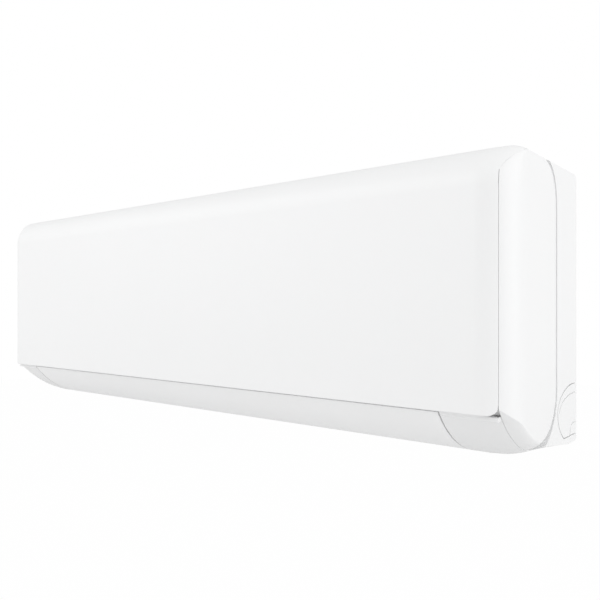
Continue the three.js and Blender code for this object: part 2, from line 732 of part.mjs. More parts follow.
function louver() {
  const start = panelHem + louverGap;
  const end = lowerCurveDepth - 0.3;
  const outer = [];
  const inner = [];
  for (let i = 0; i <= louverSteps; i += 1) {
    const share = i / louverSteps;
    const depth = start + (end - start) * share;
    outer.push([depth, lowerCurve(depth)]);
    const thick = louverEdge + (louverThickness - louverEdge) * Math.sin(Math.PI * share);
    const height = lowerCurve(depth);
    const toCentre = [lowerCentre[0] - depth, lowerCentre[1] - height];
    const scale = thick / lowerCurveRadius;
    inner.push([depth + toCentre[0] * scale, height + toCentre[1] * scale]);
  }
  const half = ductHalf - louverEndGap;
  const blade = prism([...outer, ...inner.reverse()], -half, half);
  const lug = (x) => prism([[louverPivotDepth - 12, lowerCurve(louverPivotDepth - 12) + 3],
    [louverPivotDepth + 10, lowerCurve(louverPivotDepth + 10) + 3], [louverPivotDepth + 5, louverPivotHeight],
    [louverPivotDepth + 3, louverPivotHeight + 4.5], [louverPivotDepth - 3, louverPivotHeight + 4.5],
    [louverPivotDepth - 5, louverPivotHeight]], x, x + lugWall);
  const pins = barX(-half - pinReach, -half + 1, louverPivotDepth, louverPivotHeight, louverPin, 16);
  return join([blade, lug(-half), lug(half - lugWall), pins, mirrored(pins)]);
}

// Turns a solid drawn along a vane's own axes into place: z runs up the vane's pivot.
const vaneTurn = new THREE.Euler(vaneTilt, 0, 0);
const vaneOrigin = (x) => new THREE.Vector3(x, vaneDepth - unitDepth, vaneHeight);
function vaneFrame(geometry, x) {
  geometry.applyMatrix4(new THREE.Matrix4().makeRotationFromEuler(vaneTurn));
  geometry.translate(...vaneOrigin(x).toArray());
  return geometry;
}

const vanePlaces = Array.from({ length: vaneCount }, (_, i) => (i - (vaneCount - 1) / 2) * vanePitch);
const crankPlace = vanePlaces[vaneCount - 1] + crankStep;

function pinAt(radius, y, z0, z1, sides = 10, x = 0) {
  const geometry = new THREE.CylinderGeometry(radius, radius, z1 - z0, sides);
  geometry.rotateX(quarter);
  geometry.translate(x, y, (z0 + z1) / 2);
  return toSolid(geometry);
}

function vaneBox(x0, x1, y0, y1, z0, z1) {
  const geometry = new THREE.BoxGeometry(x1 - x0, y1 - y0, z1 - z0);
  geometry.translate((x0 + x1) / 2, (y0 + y1) / 2, (z0 + z1) / 2);
  return toSolid(geometry);
}

// One swing vane about its own pivot: a tapered blade, a foot pin, and a crank pin in a notch.
function vane() {
  const half = vaneChord / 2;
  const shape = new THREE.Shape();
  shape.moveTo(-half, -vaneLower + vaneCorner);
  shape.lineTo(-half + vaneCorner, -vaneLower);
  shape.lineTo(half - vaneCorner, -vaneLower);
  shape.lineTo(half, -vaneLower + vaneCorner);
  shape.lineTo(half - 1, vaneUpper - 12);
  shape.quadraticCurveTo(half - 2, vaneUpper, half - 12, vaneUpper);
  shape.lineTo(-half + 8, vaneUpper);
  shape.quadraticCurveTo(-half, vaneUpper, -half, vaneUpper - 8);
  const blade = new THREE.ExtrudeGeometry(shape, { depth: vaneWall, bevelEnabled: false, curveSegments: 1 });
  blade.applyMatrix4(new THREE.Matrix4().makeBasis(
    new THREE.Vector3(0, 1, 0), new THREE.Vector3(0, 0, 1), new THREE.Vector3(1, 0, 0)));
  blade.translate(-vaneWall / 2, 0, 0);
  const notch = vaneBox(-5, 5, -half - 1, -crankArm + rodWidth, -rodSeat - 4, -rodSeat + 4);
  const foot = pinAt(vanePin, 0, -vaneLower - footReach, -vaneLower + 2, 6);
  const crank = pinAt(crankPin, -crankArm, -rodSeat - 5, -rodSeat + 2.5, 6);
  return join([toSolid(blade).subtract(notch), foot, crank]);
}

// The bar that links every crank pin, along X.
function linkRod() {
  const x0 = vanePlaces[0] - rodWidth;
  const x1 = crankPlace + rodWidth;
  const bar = vaneBox(x0, x1, -crankArm - rodWidth / 2, -crankArm + rodWidth / 2,
    -rodSeat - rodThick / 2, -rodSeat + rodThick / 2);
  const holes = [...vanePlaces, crankPlace].map((x) =>
    pinAt(crankPin + pinClearance + 0.15, -crankArm, -rodSeat - 3, -rodSeat + 3, 6, x));
  return cut(bar, holes);
}

function vaneRail() {
  const x0 = vanePlaces[0] - vanePitch / 2;
  const x1 = crankPlace + 12;
  const rail = vaneBox(x0, x1, -7, 7, -vaneLower - railThick, -vaneLower - seatGap);
  const holes = vanePlaces.map((x) => pinAt(vanePin + pinClearance, 0, -vaneLower - footReach - 0.5,
    -vaneLower + 1, 6, x));
  const crankHole = pinAt(crankShaft + pinClearance, 0, -vaneLower - railThick - 1, -vaneLower + 1, 12,
    crankPlace);
  return cut(rail, [...holes, crankHole]);
}

function swingCrank() {
  return join([
    pinAt(crankShaft, 0, -floorReach - 1, -vaneLower + 2, 12),
    pinAt(crankDisc, 0, -vaneLower, -rodSeat - 4, 16),
    vaneBox(-crankArmHalf, crankArmHalf, -crankArm - 1, 0, -rodSeat - 6, -rodSeat - 4),
    pinAt(crankPin, -crankArm, -rodSeat - 5, -rodSeat + 2.5, 8),
  ]);
}

function stepper() {
  const face = -floorReach - stepperGap;
  return join([
    pinAt(stepperRadius - 2, 0, face - stepperLength, face, 24),
    vaneBox(-stepperEar, stepperEar, -stepperEarHalf, stepperEarHalf, face - stepperEarWall, face),
  ]);
}

// ================= fan =================

function crossflowFan() {
  const half = ductHalf - fanEndGap;
  const length = 2 * half;
  const bladeShape = new THREE.Shape();
  const mid = fanRadius - bladeDepth / 2;
  bladeShape.moveTo(fanRadius - bladeTip, 0);
  bladeShape.quadraticCurveTo(mid, bladeBow, fanRadius - bladeDepth, 0.2);
  bladeShape.lineTo(fanRadius - bladeDepth, 0.2 - bladeWall);
  bladeShape.quadraticCurveTo(mid, bladeBow - 1.3 * bladeWall, fanRadius - bladeTip, -bladeWall);
  const bladeGeometry = new THREE.ExtrudeGeometry(bladeShape, {
    depth: length - fanDisc, bevelEnabled: false, curveSegments: 1 });
  bladeGeometry.translate(0, 0, -half + fanDisc / 2);
  const blade = toSolid(bladeGeometry);
  const parts = [];
  for (let i = 0; i < fanBlades; i += 1) parts.push(blade.rotate([0, 0, 360 * i / fanBlades]));
  const eyeRadius = fanRadius - bladeDepth - fanEyeRim;
  for (let i = 0; i <= fanSections; i += 1) {
    const disc = new THREE.CylinderGeometry(fanRadius, fanRadius, fanDisc, fanBlades * 2);
    disc.rotateX(quarter);
    disc.translate(0, 0, -half + fanDisc / 2 + (length - fanDisc) * i / fanSections);
    const solid = toSolid(disc);
    if (i > 0 && i < fanSections) {
      const eye = new THREE.CylinderGeometry(eyeRadius, eyeRadius, 10, fanBlades);
      eye.rotateX(quarter);
      eye.translate(0, 0, -half + fanDisc / 2 + (length - fanDisc) * i / fanSections);
      parts.push(solid.subtract(toSolid(eye)));
    } else parts.push(solid);
  }
  const stub = (z0, z1, radius) => {
    const geometry = new THREE.CylinderGeometry(radius, radius, z1 - z0, 16);
    geometry.rotateX(quarter);
    geometry.translate(0, 0, (z0 + z1) / 2);
    return toSolid(geometry);
  };
  parts.push(stub(half - 1, half + fanBossReach, fanBoss));
  parts.push(stub(half, motorStart + shaftSeat - seatGap, fanShaftRadius));
  parts.push(stub(-half - fanBossReach, -half + 1, fanBoss));
  parts.push(stub(-ductHalf - bearingWidth, -half, fanShaftRadius));
  return join(parts).rotate([90, 0, 90]);
}

// A body turned about the fan's axis: [x, radius] points from end to end.
function turned(profile, sides) {
  const points = profile.map(([x, radius]) => new THREE.Vector2(radius, x));
  const geometry = new THREE.LatheGeometry(points, sides);
  geometry.rotateZ(-quarter);
  geometry.translate(0, fanDepth - unitDepth, fanHeight);
  return toSolid(geometry);
}

function fanMotor() {
  const end = motorStart + motorLength;
  const bore = fanShaftRadius + pinClearance;
  return turned([
    [motorStart + shaftSeat, 0],
    [motorStart + shaftSeat, bore],
    [motorStart, bore],
    [motorStart, motorNose],
    [motorStart + 2, motorRadius - motorTaper],
    [motorStart + 4.6, motorRadius],
    [end - 7, motorRadius],
    [end - 4, motorRadius - motorTaper],
    [end - 2.5, motorBoss],
    [end, motorBoss],
    [end, 0],
  ], 20);
}

const ring = (x0, x1, inner, outer, sides) =>
  turned([[x0, inner], [x0, outer], [x1, outer], [x1, inner], [x0, inner]], sides);

function motorClamp(x) {
  const inner = motorRadius + seatGap;
  const base = fanHeight + seatGap;
  const strap = ring(x, x + clampWidth, inner, inner + clampWall, 20);
  const upper = block(x - 1, x + clampWidth + 1, 0, unitDepth, base, far);
  const foot = (side) => {
    const middle = fanDepth + side * (motorRadius + clampFootHalf + 0.5);
    return block(x, x + clampWidth, middle - clampFootHalf, middle + clampFootHalf,
      base, base + clampFootThick);
  };
  return join([strap.intersect(upper), foot(1), foot(-1)]);
}

// ================= heat exchanger =================

// A slab of fins along the line from one end to the other, with the gaps between the fins as grooves.
function slabSolid({ from, to }) {
  const length = Math.hypot(to[0] - from[0], to[1] - from[1]);
  const shape = new THREE.Shape();
  const pitch = 2 * coilHalf / finGrooves;
  const face = coilThick / 2;
  shape.moveTo(-coilHalf, -face);
  for (let i = 0; i < finGrooves; i += 1) {
    const x = -coilHalf + pitch * (i + 0.5);
    shape.lineTo(x - pitch * 0.25, -face);
    shape.lineTo(x - pitch * 0.25, finGrooveDepth - face);
    shape.lineTo(x + pitch * 0.25, finGrooveDepth - face);
    shape.lineTo(x + pitch * 0.25, -face);
  }
  shape.lineTo(coilHalf, -face);
  shape.lineTo(coilHalf, face);
  shape.lineTo(-coilHalf, face);
  const geometry = new THREE.ExtrudeGeometry(shape, { depth: length, bevelEnabled: false });
  geometry.applyMatrix4(slabMatrix(from, to));
  return toSolid(geometry);
}

// The slab's own axes: x along the unit, y out of its back towards the fan, z along the line.
function slabMatrix(from, to) {
  const along = new THREE.Vector3(0, to[0] - from[0], to[1] - from[1]).normalize();
  const out = new THREE.Vector3().crossVectors(along, new THREE.Vector3(1, 0, 0));
  const matrix = new THREE.Matrix4().makeBasis(new THREE.Vector3(1, 0, 0), out, along);
  matrix.setPosition(0, from[0] - unitDepth, from[1]);
  return matrix;
}

function returnBend(across, z0, z1) {
  const radius = (z1 - z0) / 2;
  const straight = bendReach - radius;
  const points = [new THREE.Vector3(0, across, z0)];
  for (let i = 0; i <= bendSteps; i += 1) {
    const angle = -quarter + Math.PI * i / bendSteps;
    points.push(new THREE.Vector3(straight + radius * Math.cos(angle), across, (z0 + z1) / 2
      + radius * Math.sin(angle)));
  }
  points.push(new THREE.Vector3(0, across, z1));
  return tubeSolid(points, tubeRadius, 6);
}

// A tube through the points: one ring of vertices square to the path at each point.
function tubeSolid(points, radius, sides) {
  const clean = points.filter((point, i) => i === 0 || point.distanceTo(points[i - 1]) > 1e-3);
  const positions = [];
  const index = [];
  let side = new THREE.Vector3(0, 1, 0);
  clean.forEach((point, i) => {
    const before = clean[Math.max(i - 1, 0)];
    const after = clean[Math.min(i + 1, clean.length - 1)];
    const inward = point.clone().sub(before).normalize();
    const outward = after.clone().sub(point).normalize();
    const ahead = inward.add(outward).normalize();
    if (i === 0 && Math.abs(ahead.dot(side)) > 0.9) side = new THREE.Vector3(0, 0, 1);
    side = side.clone().addScaledVector(ahead, -side.dot(ahead)).normalize();
    const up = new THREE.Vector3().crossVectors(ahead, side);
    for (let s = 0; s < sides; s += 1) {
      const angle = 2 * Math.PI * s / sides;
      const vertex = point.clone().addScaledVector(side, radius * Math.cos(angle))
        .addScaledVector(up, radius * Math.sin(angle));
      positions.push(...vertex.toArray());
    }
  });
  for (let r = 0; r < clean.length - 1; r += 1) {
    for (let s = 0; s < sides; s += 1) {
      const a = r * sides + s;
      const b = r * sides + (s + 1) % sides;
      index.push(a, b, b + sides, a, b + sides, a + sides);
    }
  }
  for (let s = 1; s < sides - 1; s += 1) {
    index.push(0, s + 1, s);
    const end = (clean.length - 1) * sides;
    index.push(end, end + s, end + s + 1);
  }
  const geometry = new THREE.BufferGeometry();
  geometry.setAttribute('position', new THREE.BufferAttribute(new Float32Array(positions), 3));
  geometry.setIndex(index);
  return toSolid(geometry);
}

// Where the return bends of a slab start, along its line, and how far each lies from its middle.
function bendStarts({ from, to }) {
  const length = Math.hypot(to[0] - from[0], to[1] - from[1]);
  const rows = Math.floor((length - 8) / (2 * tubePitch));
  const first = (length - (2 * rows - 1) * tubePitch) / 2;
  return Array.from({ length: rows }, (_, i) => [first + i * 2 * tubePitch, i % 2 ? tubeRow : -tubeRow]);
}

// The depth and height of the middle of one return bend.
function bendPlace(slab, i) {
  const [start, across] = bendStarts(slab)[i];
  const place = new THREE.Vector3(0, across, start + tubePitch / 2);
  place.applyMatrix4(slabMatrix(slab.from, slab.to));
  return [place.y + unitDepth, place.z];
}

// The right-hand end of the heat exchanger: end plate with the return bends brazed on and a foot.
function coilEnd() {
  const x0 = coilHalf + seatGap;
  const parts = [prism(band([slabs[1].to, slabs[2].from], coilThick / 2), x0, x0 + plateWall)];
  const floor = panFloor + 2 * (footDepth - panFront) / (panRear - panFront) + panWall / 2;
  parts.push(block(x0, x0 + plateWall, footDepth - footWidth, footDepth, floor + seatGap, slabs[0].from[1]));
  for (const slab of slabs) {
    const matrix = slabMatrix(slab.from, slab.to);
    const length = Math.hypot(slab.to[0] - slab.from[0], slab.to[1] - slab.from[1]);
    const plate = new THREE.BoxGeometry(plateWall, coilThick + 3, length + 4);
    plate.translate(x0 + plateWall / 2, 0, length / 2);
    parts.push(toSolid(plate.applyMatrix4(matrix)));
    const shift = new THREE.Matrix4().makeTranslation(x0 + plateWall / 2, 0, 0);
    for (const [start, across] of bendStarts(slab)) {
      const bend = returnBend(across, start, start + tubePitch);
      parts.push(bend.transform(matrix.clone().multiply(shift).toArray()));
    }
  }
  return join(parts);
}

// A pipe through points, with its corners rounded.
function pipe(corners, radius, bend, sides) {
  const points = corners.map(([x, depth, height]) => new THREE.Vector3(x, depth - unitDepth, height));
  const path = [points[0]];
  for (let i = 1; i < points.length - 1; i += 1) {
    const start = points[i].clone().add(points[i - 1].clone().sub(points[i]).setLength(bend));
    const end = points[i].clone().add(points[i + 1].clone().sub(points[i]).setLength(bend));
    path.push(...new THREE.QuadraticBezierCurve3(start, points[i], end).getPoints(4));
  }
  path.push(points[points.length - 1]);
  return tubeSolid(path, radius, sides);
}

function flareNut(x, height, radius, width) {
  const hex = barX(x, x + width, channelDepth, height, radius, 6);
  return hex.subtract(barX(x - 1, x + width - nutFloor, channelDepth, height, radius * 0.55, 12));
}

// ================= trays, boxes and small pieces =================

function drainPan() {
  const floor = [[panFront, panRim], [panFront, panFloor], [panRear, panFloor + 2]];
  const trough = prism(band([...floor, [tongueDepth, tongueHeight], [tongueDepth + 4.5, tongueHeight - 3.5],
    ...skirtLine], panWall), -panHalf, panHalf);
  const top = panRim - endDrop;
  const rise = (top - panFloor - 2) / (tongueHeight - panFloor - 2);
  const end = prism([[panFront, top], ...floor.slice(1), [panRear + (tongueDepth - panRear) * rise, top]],
    panHalf - panWall - endInset, panHalf - endInset);
  const mouth = -panHalf - spoutReach;
  const spout = barX(mouth, -panHalf + endInset + 1, drainDepth, drainHeight, drainRadius, 16);
  const boreRadius = drainRadius - spoutWall;
  const bore = barX(mouth - 1, -panHalf + endInset + panWall + 1, drainDepth, drainHeight, boreRadius, 16);
  return join([trough, end, mirrored(end), spout]).subtract(bore);
}

// Intake grille: long bars over cross ribs, all the way round the opening.
function grille() {
  const base = grilleTop - grilleThick;
  const bars = [];
  for (let j = 0; j <= grilleBars; j += 1) {
    const depth = grilleFront + (grilleRear - grilleFront - grilleBar) * j / grilleBars;
    bars.push(block(-grilleHalf, grilleHalf, depth, depth + grilleBar, base, grilleTop));
  }
  for (let i = 0; i <= grilleRibs; i += 1) {
    const x = -grilleHalf + (2 * grilleHalf - grilleBar) * i / grilleRibs;
    bars.push(block(x, x + grilleBar, grilleFront, grilleRear, base, grilleTop));
  }
  return join(bars);
}

// One air filter: a thin net in a ribbed tray with a pull tab, lying on the grille.
function airFilter() {
  const x0 = filterRim / 2;
  const x1 = grilleHalf - seatGap;
  const base = grilleTop + seatGap;
  const tray = block(x0, x1, grilleFront, grilleRear, base, base + filterThick);
  const cellX = (x1 - x0 - filterRim * 2 + filterRib) / filterCells;
  const cellY = (grilleRear - grilleFront - filterRim * 2 + filterRib) / filterRows;
  const pockets = [];
  for (let i = 0; i < filterCells; i += 1) {
    for (let j = 0; j < filterRows; j += 1) {
      const x = x0 + filterRim + cellX * i;
      const depth = grilleFront + filterRim + cellY * j;
      pockets.push(block(x, x + cellX - filterRib, depth, depth + cellY - filterRib,
        base + filterNet, base + filterThick + 1));
    }
  }
  const middle = (x0 + x1) / 2;
  const tab = block(middle - 20, middle + 20, grilleFront + filterRim + 1, grilleFront + filterRim + 14,
    base, base + filterThick);
  return join([cut(tray, pockets), tab]);
}

function wallPlate() {
  const depth = unitDepth - wallPlateWall;
  const plate = block(-plateHalf, plateHalf, depth, unitDepth, plateBottom, plateTop);
  const hook = (x) => join([
    block(x - hookHalf, x + hookHalf, backWallDepth - 3.5, depth + 1, hookHeight, hookHeight + wallPlateWall),
    block(x - hookHalf, x + hookHalf, backWallDepth - 3.5, backWallDepth - 2, hookHeight,
      hookHeight + hookRise),
  ]);
  const holes = plateHoles.flatMap(([x, height]) => [x, -x].map((place) => {
    const geometry = new THREE.CylinderGeometry(plateHole, plateHole, 10, 8);
    geometry.translate(place, 0, height);
    return toSolid(geometry);
  }));
  const slot = (x) => block(x - plateSlot, x + plateSlot, depth - 1, unitDepth + 1,
    hookHeight - plateSlot, hookHeight - 0.2);
  return cut(join([plate, ...hookPlaces.map(hook)]), [...holes, ...hookPlaces.map(slot)]);
}

const boxStart = ductHalf + ductWall + 0.6;
const boxEnd = frameHalf - skinWall - seatGap;

function controlBox() {
  const outer = block(boxStart, boxEnd, boxFront, boxRear, boxBottom, boxTop);
  const inner = block(boxStart + boxWall, boxEnd - boxWall, boxFront - 1, boxRear - boxWall,
    boxBottom + boxWall, boxTop - boxWall);
  const post = (height) => block(boxStart + 10, boxStart + 16, boxRear - boxWall - boardSeat, boxRear - 1,
    height, height + 6);
  const slot = block(boxStart + 18, boxStart + 38, boxRear - boxWall - 1, boxRear + 1,
    boxTop - 24, boxTop - 14);
  return join([outer.subtract(inner), post(boxBottom + 16), post(boxTop - 40)]).subtract(slot);
}

function controlBoard() {
  const rear = boxRear - boxWall - boardSeat - seatGap;
  const board = block(boxStart + 4, boxEnd - 4, rear - boardWall, rear, boxBottom + 6, boxTop - 30);
  const chip = (across, up, width, height, tall) => block(boxStart + across, boxStart + across + width,
    rear - tall, rear - 1, boxBottom + up, boxBottom + up + height);
  const power = chip(8, 12, 16, 24, 16);
  const lowerRelay = chip(30, 12, relayWidth, relayHeight, relayTall);
  const upperRelay = chip(30, 32, relayWidth, relayHeight, relayTall);
  const plug = chip(10, 96, 12, 20, 10);
  const logic = chip(28, 76, 18, 20, 4);
  const can = new THREE.CylinderGeometry(canRadius, canRadius, canHeight, 14);
  can.translate(boxStart + 16, rear - canHeight / 2 - 1 - unitDepth, boxBottom + 58);
  return join([board, power, lowerRelay, upperRelay, plug, logic, toSolid(can)]);
}

function terminalBlock() {
  const base = block(boxStart + 6, boxEnd - 6, boxFront + 6, boxFront + 18, boxTop - 22,
    boxTop - boxWall - seatGap);
  const well = (i) => block(boxStart + 8 + i * wellPitch, boxStart + 8 + i * wellPitch + wellWidth,
    boxFront + 5, boxFront + 12, boxTop - 19, boxTop - boxWall - 3);
  return cut(base, Array.from({ length: wells }, (_, i) => well(i)));
}

function boxLid() {
  return block(boxStart, boxEnd, boxFront - boxWall - seatGap, boxFront - seatGap, boxBottom, boxTop);
}

function displayBoard() {
  const rear = beamDepth - seatGap;
  const end = displayStart + displayLength;
  const top = displayBottom + displayHeight;
  const holder = block(displayStart, end, rear - 7, rear, displayBottom, top);
  const recess = block(displayStart + 2, end - 2, rear - 8, rear - 2, displayBottom + 2, top - 2);
  const digits = block(displayStart + 8, displayStart + 44, rear - 6, rear - 1, displayBottom + 5, top - 5);
  return holder.subtract(recess).add(digits);
}

function emergencyButton() {
  const rear = beamDepth + skinWall + seatGap + buttonFlange;
  const head = new THREE.CylinderGeometry(buttonRadius, buttonRadius, rear - buttonFront, 12);
  head.translate(buttonPlace, (rear + buttonFront) / 2 - unitDepth, buttonHeight);
  const flangeRadius = buttonRadius + buttonRim;
  const flange = new THREE.CylinderGeometry(flangeRadius, flangeRadius, buttonFlange, 12);
  flange.translate(buttonPlace, rear - buttonFlange / 2 - unitDepth, buttonHeight);
  return toSolid(head).add(toSolid(flange));
}

function louverMotor() {
  const start = -ductHalf - ductWall - seatGap;
  const reach = pinReach - louverEndGap - ductWall;
  const body = barX(start - stepperLength, start, louverPivotDepth, louverPivotHeight, stepperRadius, 20);
  const socket = barX(start - reach - 0.3, start + 1, louverPivotDepth, louverPivotHeight,
    louverPin + pinClearance, 16);
  const ears = block(start - 1, start, louverPivotDepth - stepperEar - 2, louverPivotDepth + stepperEar + 2,
    louverPivotHeight - stepperEarHalf, louverPivotHeight + stepperEarHalf);
  return join([body, ears]).subtract(socket);
}

// ================= assembly =================

const unit = new THREE.Group();

function finish(colour, roughness, metalness = 0) {
  return new THREE.MeshStandardMaterial({ color: colour, roughness, metalness });
}

const white = finish(0xf4f5f5, 0.3);
const louverWhite = finish(0xe9ebeb, 0.35);
const innerWhite = finish(0xe4e6e5, 0.5);
const darkPlastic = finish(0x3b3e41, 0.55);
const fins = finish(0xa9c3cf, 0.4, 0.6);
const copper = finish(0xb87447, 0.35, 1);
const steel = finish(0xb8bcbf, 0.4, 1);
const brass = finish(0xc2a25a, 0.35, 1);
const netGrey = finish(0x6d7275, 0.7);
const boardGreen = finish(0x2d6b45, 0.6);
const rubber = finish(0x2a2a2b, 0.85);
const foam = finish(0xdcdedb, 0.9);

function add(name, shape, material, parent = unit) {
  const geometry = shape.isBufferGeometry ? shape : toGeometry(shape);
  const mesh = new THREE.Mesh(geometry, material);
  mesh.name = name;
  parent.add(mesh);
  return mesh;
}

const gasStart = bendPlace(slabs[2], 1);
const liquidStart = bendPlace(slabs[2], 0);
add('rear_casing', rearCasing(), white);
add('front_frame', frontFrame(), white);
add('front_panel', frontPanel(), white);
const cap = endCap();
add('end_cap_right', cap, white);
add('end_cap_left', mirrored(cap), white);
const cover = pipeHoleCover();
add('pipe_hole_cover_right', cover, white);
add('pipe_hole_cover_left', mirrored(cover), white);
add('intake_grille', grille(), innerWhite);
const filter = airFilter();
add('air_filter_right', filter, netGrey);
add('air_filter_left', mirrored(filter), netGrey);
add('wall_plate', wallPlate(), steel);
add('louver', louver(), louverWhite);
add('louver_motor', louverMotor(), steel);
add('vane_rail', vaneFrame(toGeometry(vaneRail()), 0), innerWhite);
add('swing_motor', vaneFrame(toGeometry(stepper()), crankPlace), steel);
add('swing_crank', vaneFrame(toGeometry(swingCrank()), crankPlace), innerWhite);
add('vane_link_rod', vaneFrame(toGeometry(linkRod()), 0), innerWhite);
const vaneGeometry = toGeometry(vane());
vanePlaces.forEach((x, i) => {
  const mesh = add(`swing_vane_${i + 1}`, vaneGeometry, darkPlastic);
  mesh.rotation.copy(vaneTurn);
  mesh.position.copy(vaneOrigin(x));
});
const fan = crossflowFan().translate([0, fanDepth - unitDepth, fanHeight]);
add('crossflow_fan', fan, darkPlastic);
add('fan_motor', fanMotor(), steel);
saddlePlaces.forEach((x, i) => add(`motor_clamp_${i + 1}`, motorClamp(x), innerWhite));
const bearingEnds = [-ductHalf - bearingWidth, -ductHalf];
add('fan_bearing', ring(...bearingEnds, fanShaftRadius + seatGap, bearingOuter, 16), steel);
add('bearing_rubber', ring(...bearingEnds, bearingOuter + seatGap, bearingSeat - seatGap, 16), rubber);
slabs.forEach((slab) => add(slab.name, slabSolid(slab), fins));
const end = coilEnd();
add('coil_end_right', end, copper);
add('coil_end_left', mirrored(end), copper);
const pipeStart = coilHalf + seatGap + plateWall / 2 + bendReach + tubeRadius + seatGap;
add('gas_pipe', pipe([[pipeStart, ...gasStart], [gasTurn, ...gasStart],
  [gasTurn, channelDepth, gasStart[1] - 6], [gasTurn, channelDepth, gasChannel],
  [gasEnd, channelDepth, gasChannel]], gasRadius, gasBend, 8), foam);
add('liquid_pipe', pipe([[pipeStart, ...liquidStart], [liquidTurn, ...liquidStart],
  [liquidTurn, channelDepth, liquidStart[1] - 6], [liquidTurn, channelDepth, liquidChannel],
  [liquidEnd, channelDepth, liquidChannel]], liquidRadius, liquidBend, 8), copper);
add('gas_flare_nut', flareNut(gasEnd - nutWidth - seatGap, gasChannel, gasNut, nutWidth), brass);
add('liquid_flare_nut', flareNut(liquidEnd - nutWidth - seatGap, liquidChannel, liquidNut, nutWidth), brass);
add('drain_pan', drainPan(), innerWhite);
add('control_box', controlBox(), innerWhite);
add('control_box_lid', boxLid(), steel);
add('control_board', controlBoard(), boardGreen);
add('terminal_block', terminalBlock(), darkPlastic);
add('display_board', displayBoard(), darkPlastic);
add('emergency_button', emergencyButton(), innerWhite);

export default unit;
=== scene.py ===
import json
import math

import bpy
from mathutils import Matrix, Vector


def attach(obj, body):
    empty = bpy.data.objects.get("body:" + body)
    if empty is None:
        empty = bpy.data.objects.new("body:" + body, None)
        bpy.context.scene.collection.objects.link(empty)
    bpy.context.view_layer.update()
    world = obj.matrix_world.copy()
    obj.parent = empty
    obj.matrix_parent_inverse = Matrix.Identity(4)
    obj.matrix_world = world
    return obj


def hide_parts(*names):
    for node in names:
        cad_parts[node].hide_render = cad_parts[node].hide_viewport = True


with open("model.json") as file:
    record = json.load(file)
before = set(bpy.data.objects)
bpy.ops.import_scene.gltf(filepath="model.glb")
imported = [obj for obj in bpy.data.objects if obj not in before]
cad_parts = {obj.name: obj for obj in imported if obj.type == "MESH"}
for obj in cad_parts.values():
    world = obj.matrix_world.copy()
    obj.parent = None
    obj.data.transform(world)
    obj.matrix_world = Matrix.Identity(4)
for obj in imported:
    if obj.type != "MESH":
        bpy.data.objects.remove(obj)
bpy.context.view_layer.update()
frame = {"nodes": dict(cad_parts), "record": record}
print("frame loaded:", len(frame["nodes"]), "nodes")

# Shapes are drawn in millimetres as (x, depth, height): x from the unit's middle,
# depth behind its front plane, height from mid-height.
casing = {
    "length": 900, "height": 300, "depth": 200,
    "skin": 2.4, "gap": 0.3,
    "frontCorner": 35,          # the ends curl back, seen from above
    "topFront": 40, "topRear": 8, "bottomRear": 6,
    "hemHeight": -99, "hemDepth": 7.8,
    "curveRadius": 130, "curveEnd": 80,   # the underside's sweep behind the hem
    "riseLength": 50, "rise": 13.5,
    "sideInset": 2, "sideDrop": 3.4, "capReach": 13.7, "frameRear": 117.7, "backWall": 195.8,
    "arcSteps": 16, "curveSteps": 14, "endSteps": 14,
}
halfLength = casing["length"] / 2
halfHeight = casing["height"] / 2
rearDepth = casing["depth"] - casing["gap"]
capRim = halfLength - casing["capReach"]
frameHalf = capRim - casing["gap"]
sideHalf = halfLength - casing["sideInset"]
far = 2000   # beyond every shape
quarter = math.pi / 2


def toMetres(point):
    x, depth, height = point
    return (x / 1000, (depth - casing["depth"]) / 1000, height / 1000)


def meshPiece(name, points, faces):
    mesh = bpy.data.meshes.new(name)
    mesh.from_pydata([toMetres(point) for point in points], [], faces)
    piece = bpy.data.objects.new(name, mesh)
    bpy.context.scene.collection.objects.link(piece)
    return piece


def applied(piece):
    # bakes a piece's modifiers into its mesh
    bpy.context.view_layer.update()
    graph = bpy.context.evaluated_depsgraph_get()
    mesh = bpy.data.meshes.new_from_object(piece.evaluated_get(graph))
    old = piece.data
    piece.modifiers.clear()
    piece.data = mesh
    bpy.data.meshes.remove(old)
    mesh.name = piece.name
    return piece


def combine(base, tools, operation):
    for tool in tools:
        step = base.modifiers.new("combine", "BOOLEAN")
        step.operation = operation
        step.solver = "MANIFOLD"
        step.object = tool
    applied(base)
    for tool in tools:
        bpy.data.objects.remove(tool, do_unlink=True)
    return base


def join(name, parts):
    base = combine(parts[0], parts[1:], "UNION")
    base.name = name
    return base


def cut(base, tools):
    return combine(base, tools, "DIFFERENCE")


def shared(base, tools):
    return combine(base, tools, "INTERSECT")


def mirrored(piece, name=None):
    mesh = piece.data.copy()
    mesh.transform(Matrix.Scale(-1, 4, (1, 0, 0)))
    mesh.flip_normals()
    copy = bpy.data.objects.new(name or piece.name + "Mirrored", mesh)
    bpy.context.scene.collection.objects.link(copy)
    return copy


def both(piece):
    return [mirrored(piece), piece]


def prismFaces(count):
    # the walls and the two ends between two rings of points
    faces = [[i, (i + 1) % count, (i + 1) % count + count, i + count] for i in range(count)]
    return faces + [list(range(count))[::-1], list(range(count, 2 * count))]


def prism(outline, x0, x1):
    # a closed outline of (depth, height) points, from x0 to x1
    area = sum(a[0] * b[1] - b[0] * a[1] for a, b in zip(outline, outline[1:] + outline[:1]))
    ring = outline if area > 0 else outline[::-1]
    return [(x, *p) for x in (x0, x1) for p in ring], prismFaces(len(ring))


def extruded(name, outline, x0, x1):
    return meshPiece(name, *prism(outline, x0, x1))


def block(x0, x1, depth0, depth1, height0, height1):
    outline = [(depth0, height0), (depth1, height0), (depth1, height1), (depth0, height1)]
    return extruded("block", outline, x0, x1)


def circle(depth, height, radius, sides):
    angles = [2 * math.pi * i / sides for i in range(sides)]
    return [(depth + radius * math.cos(a), height + radius * math.sin(a)) for a in angles]


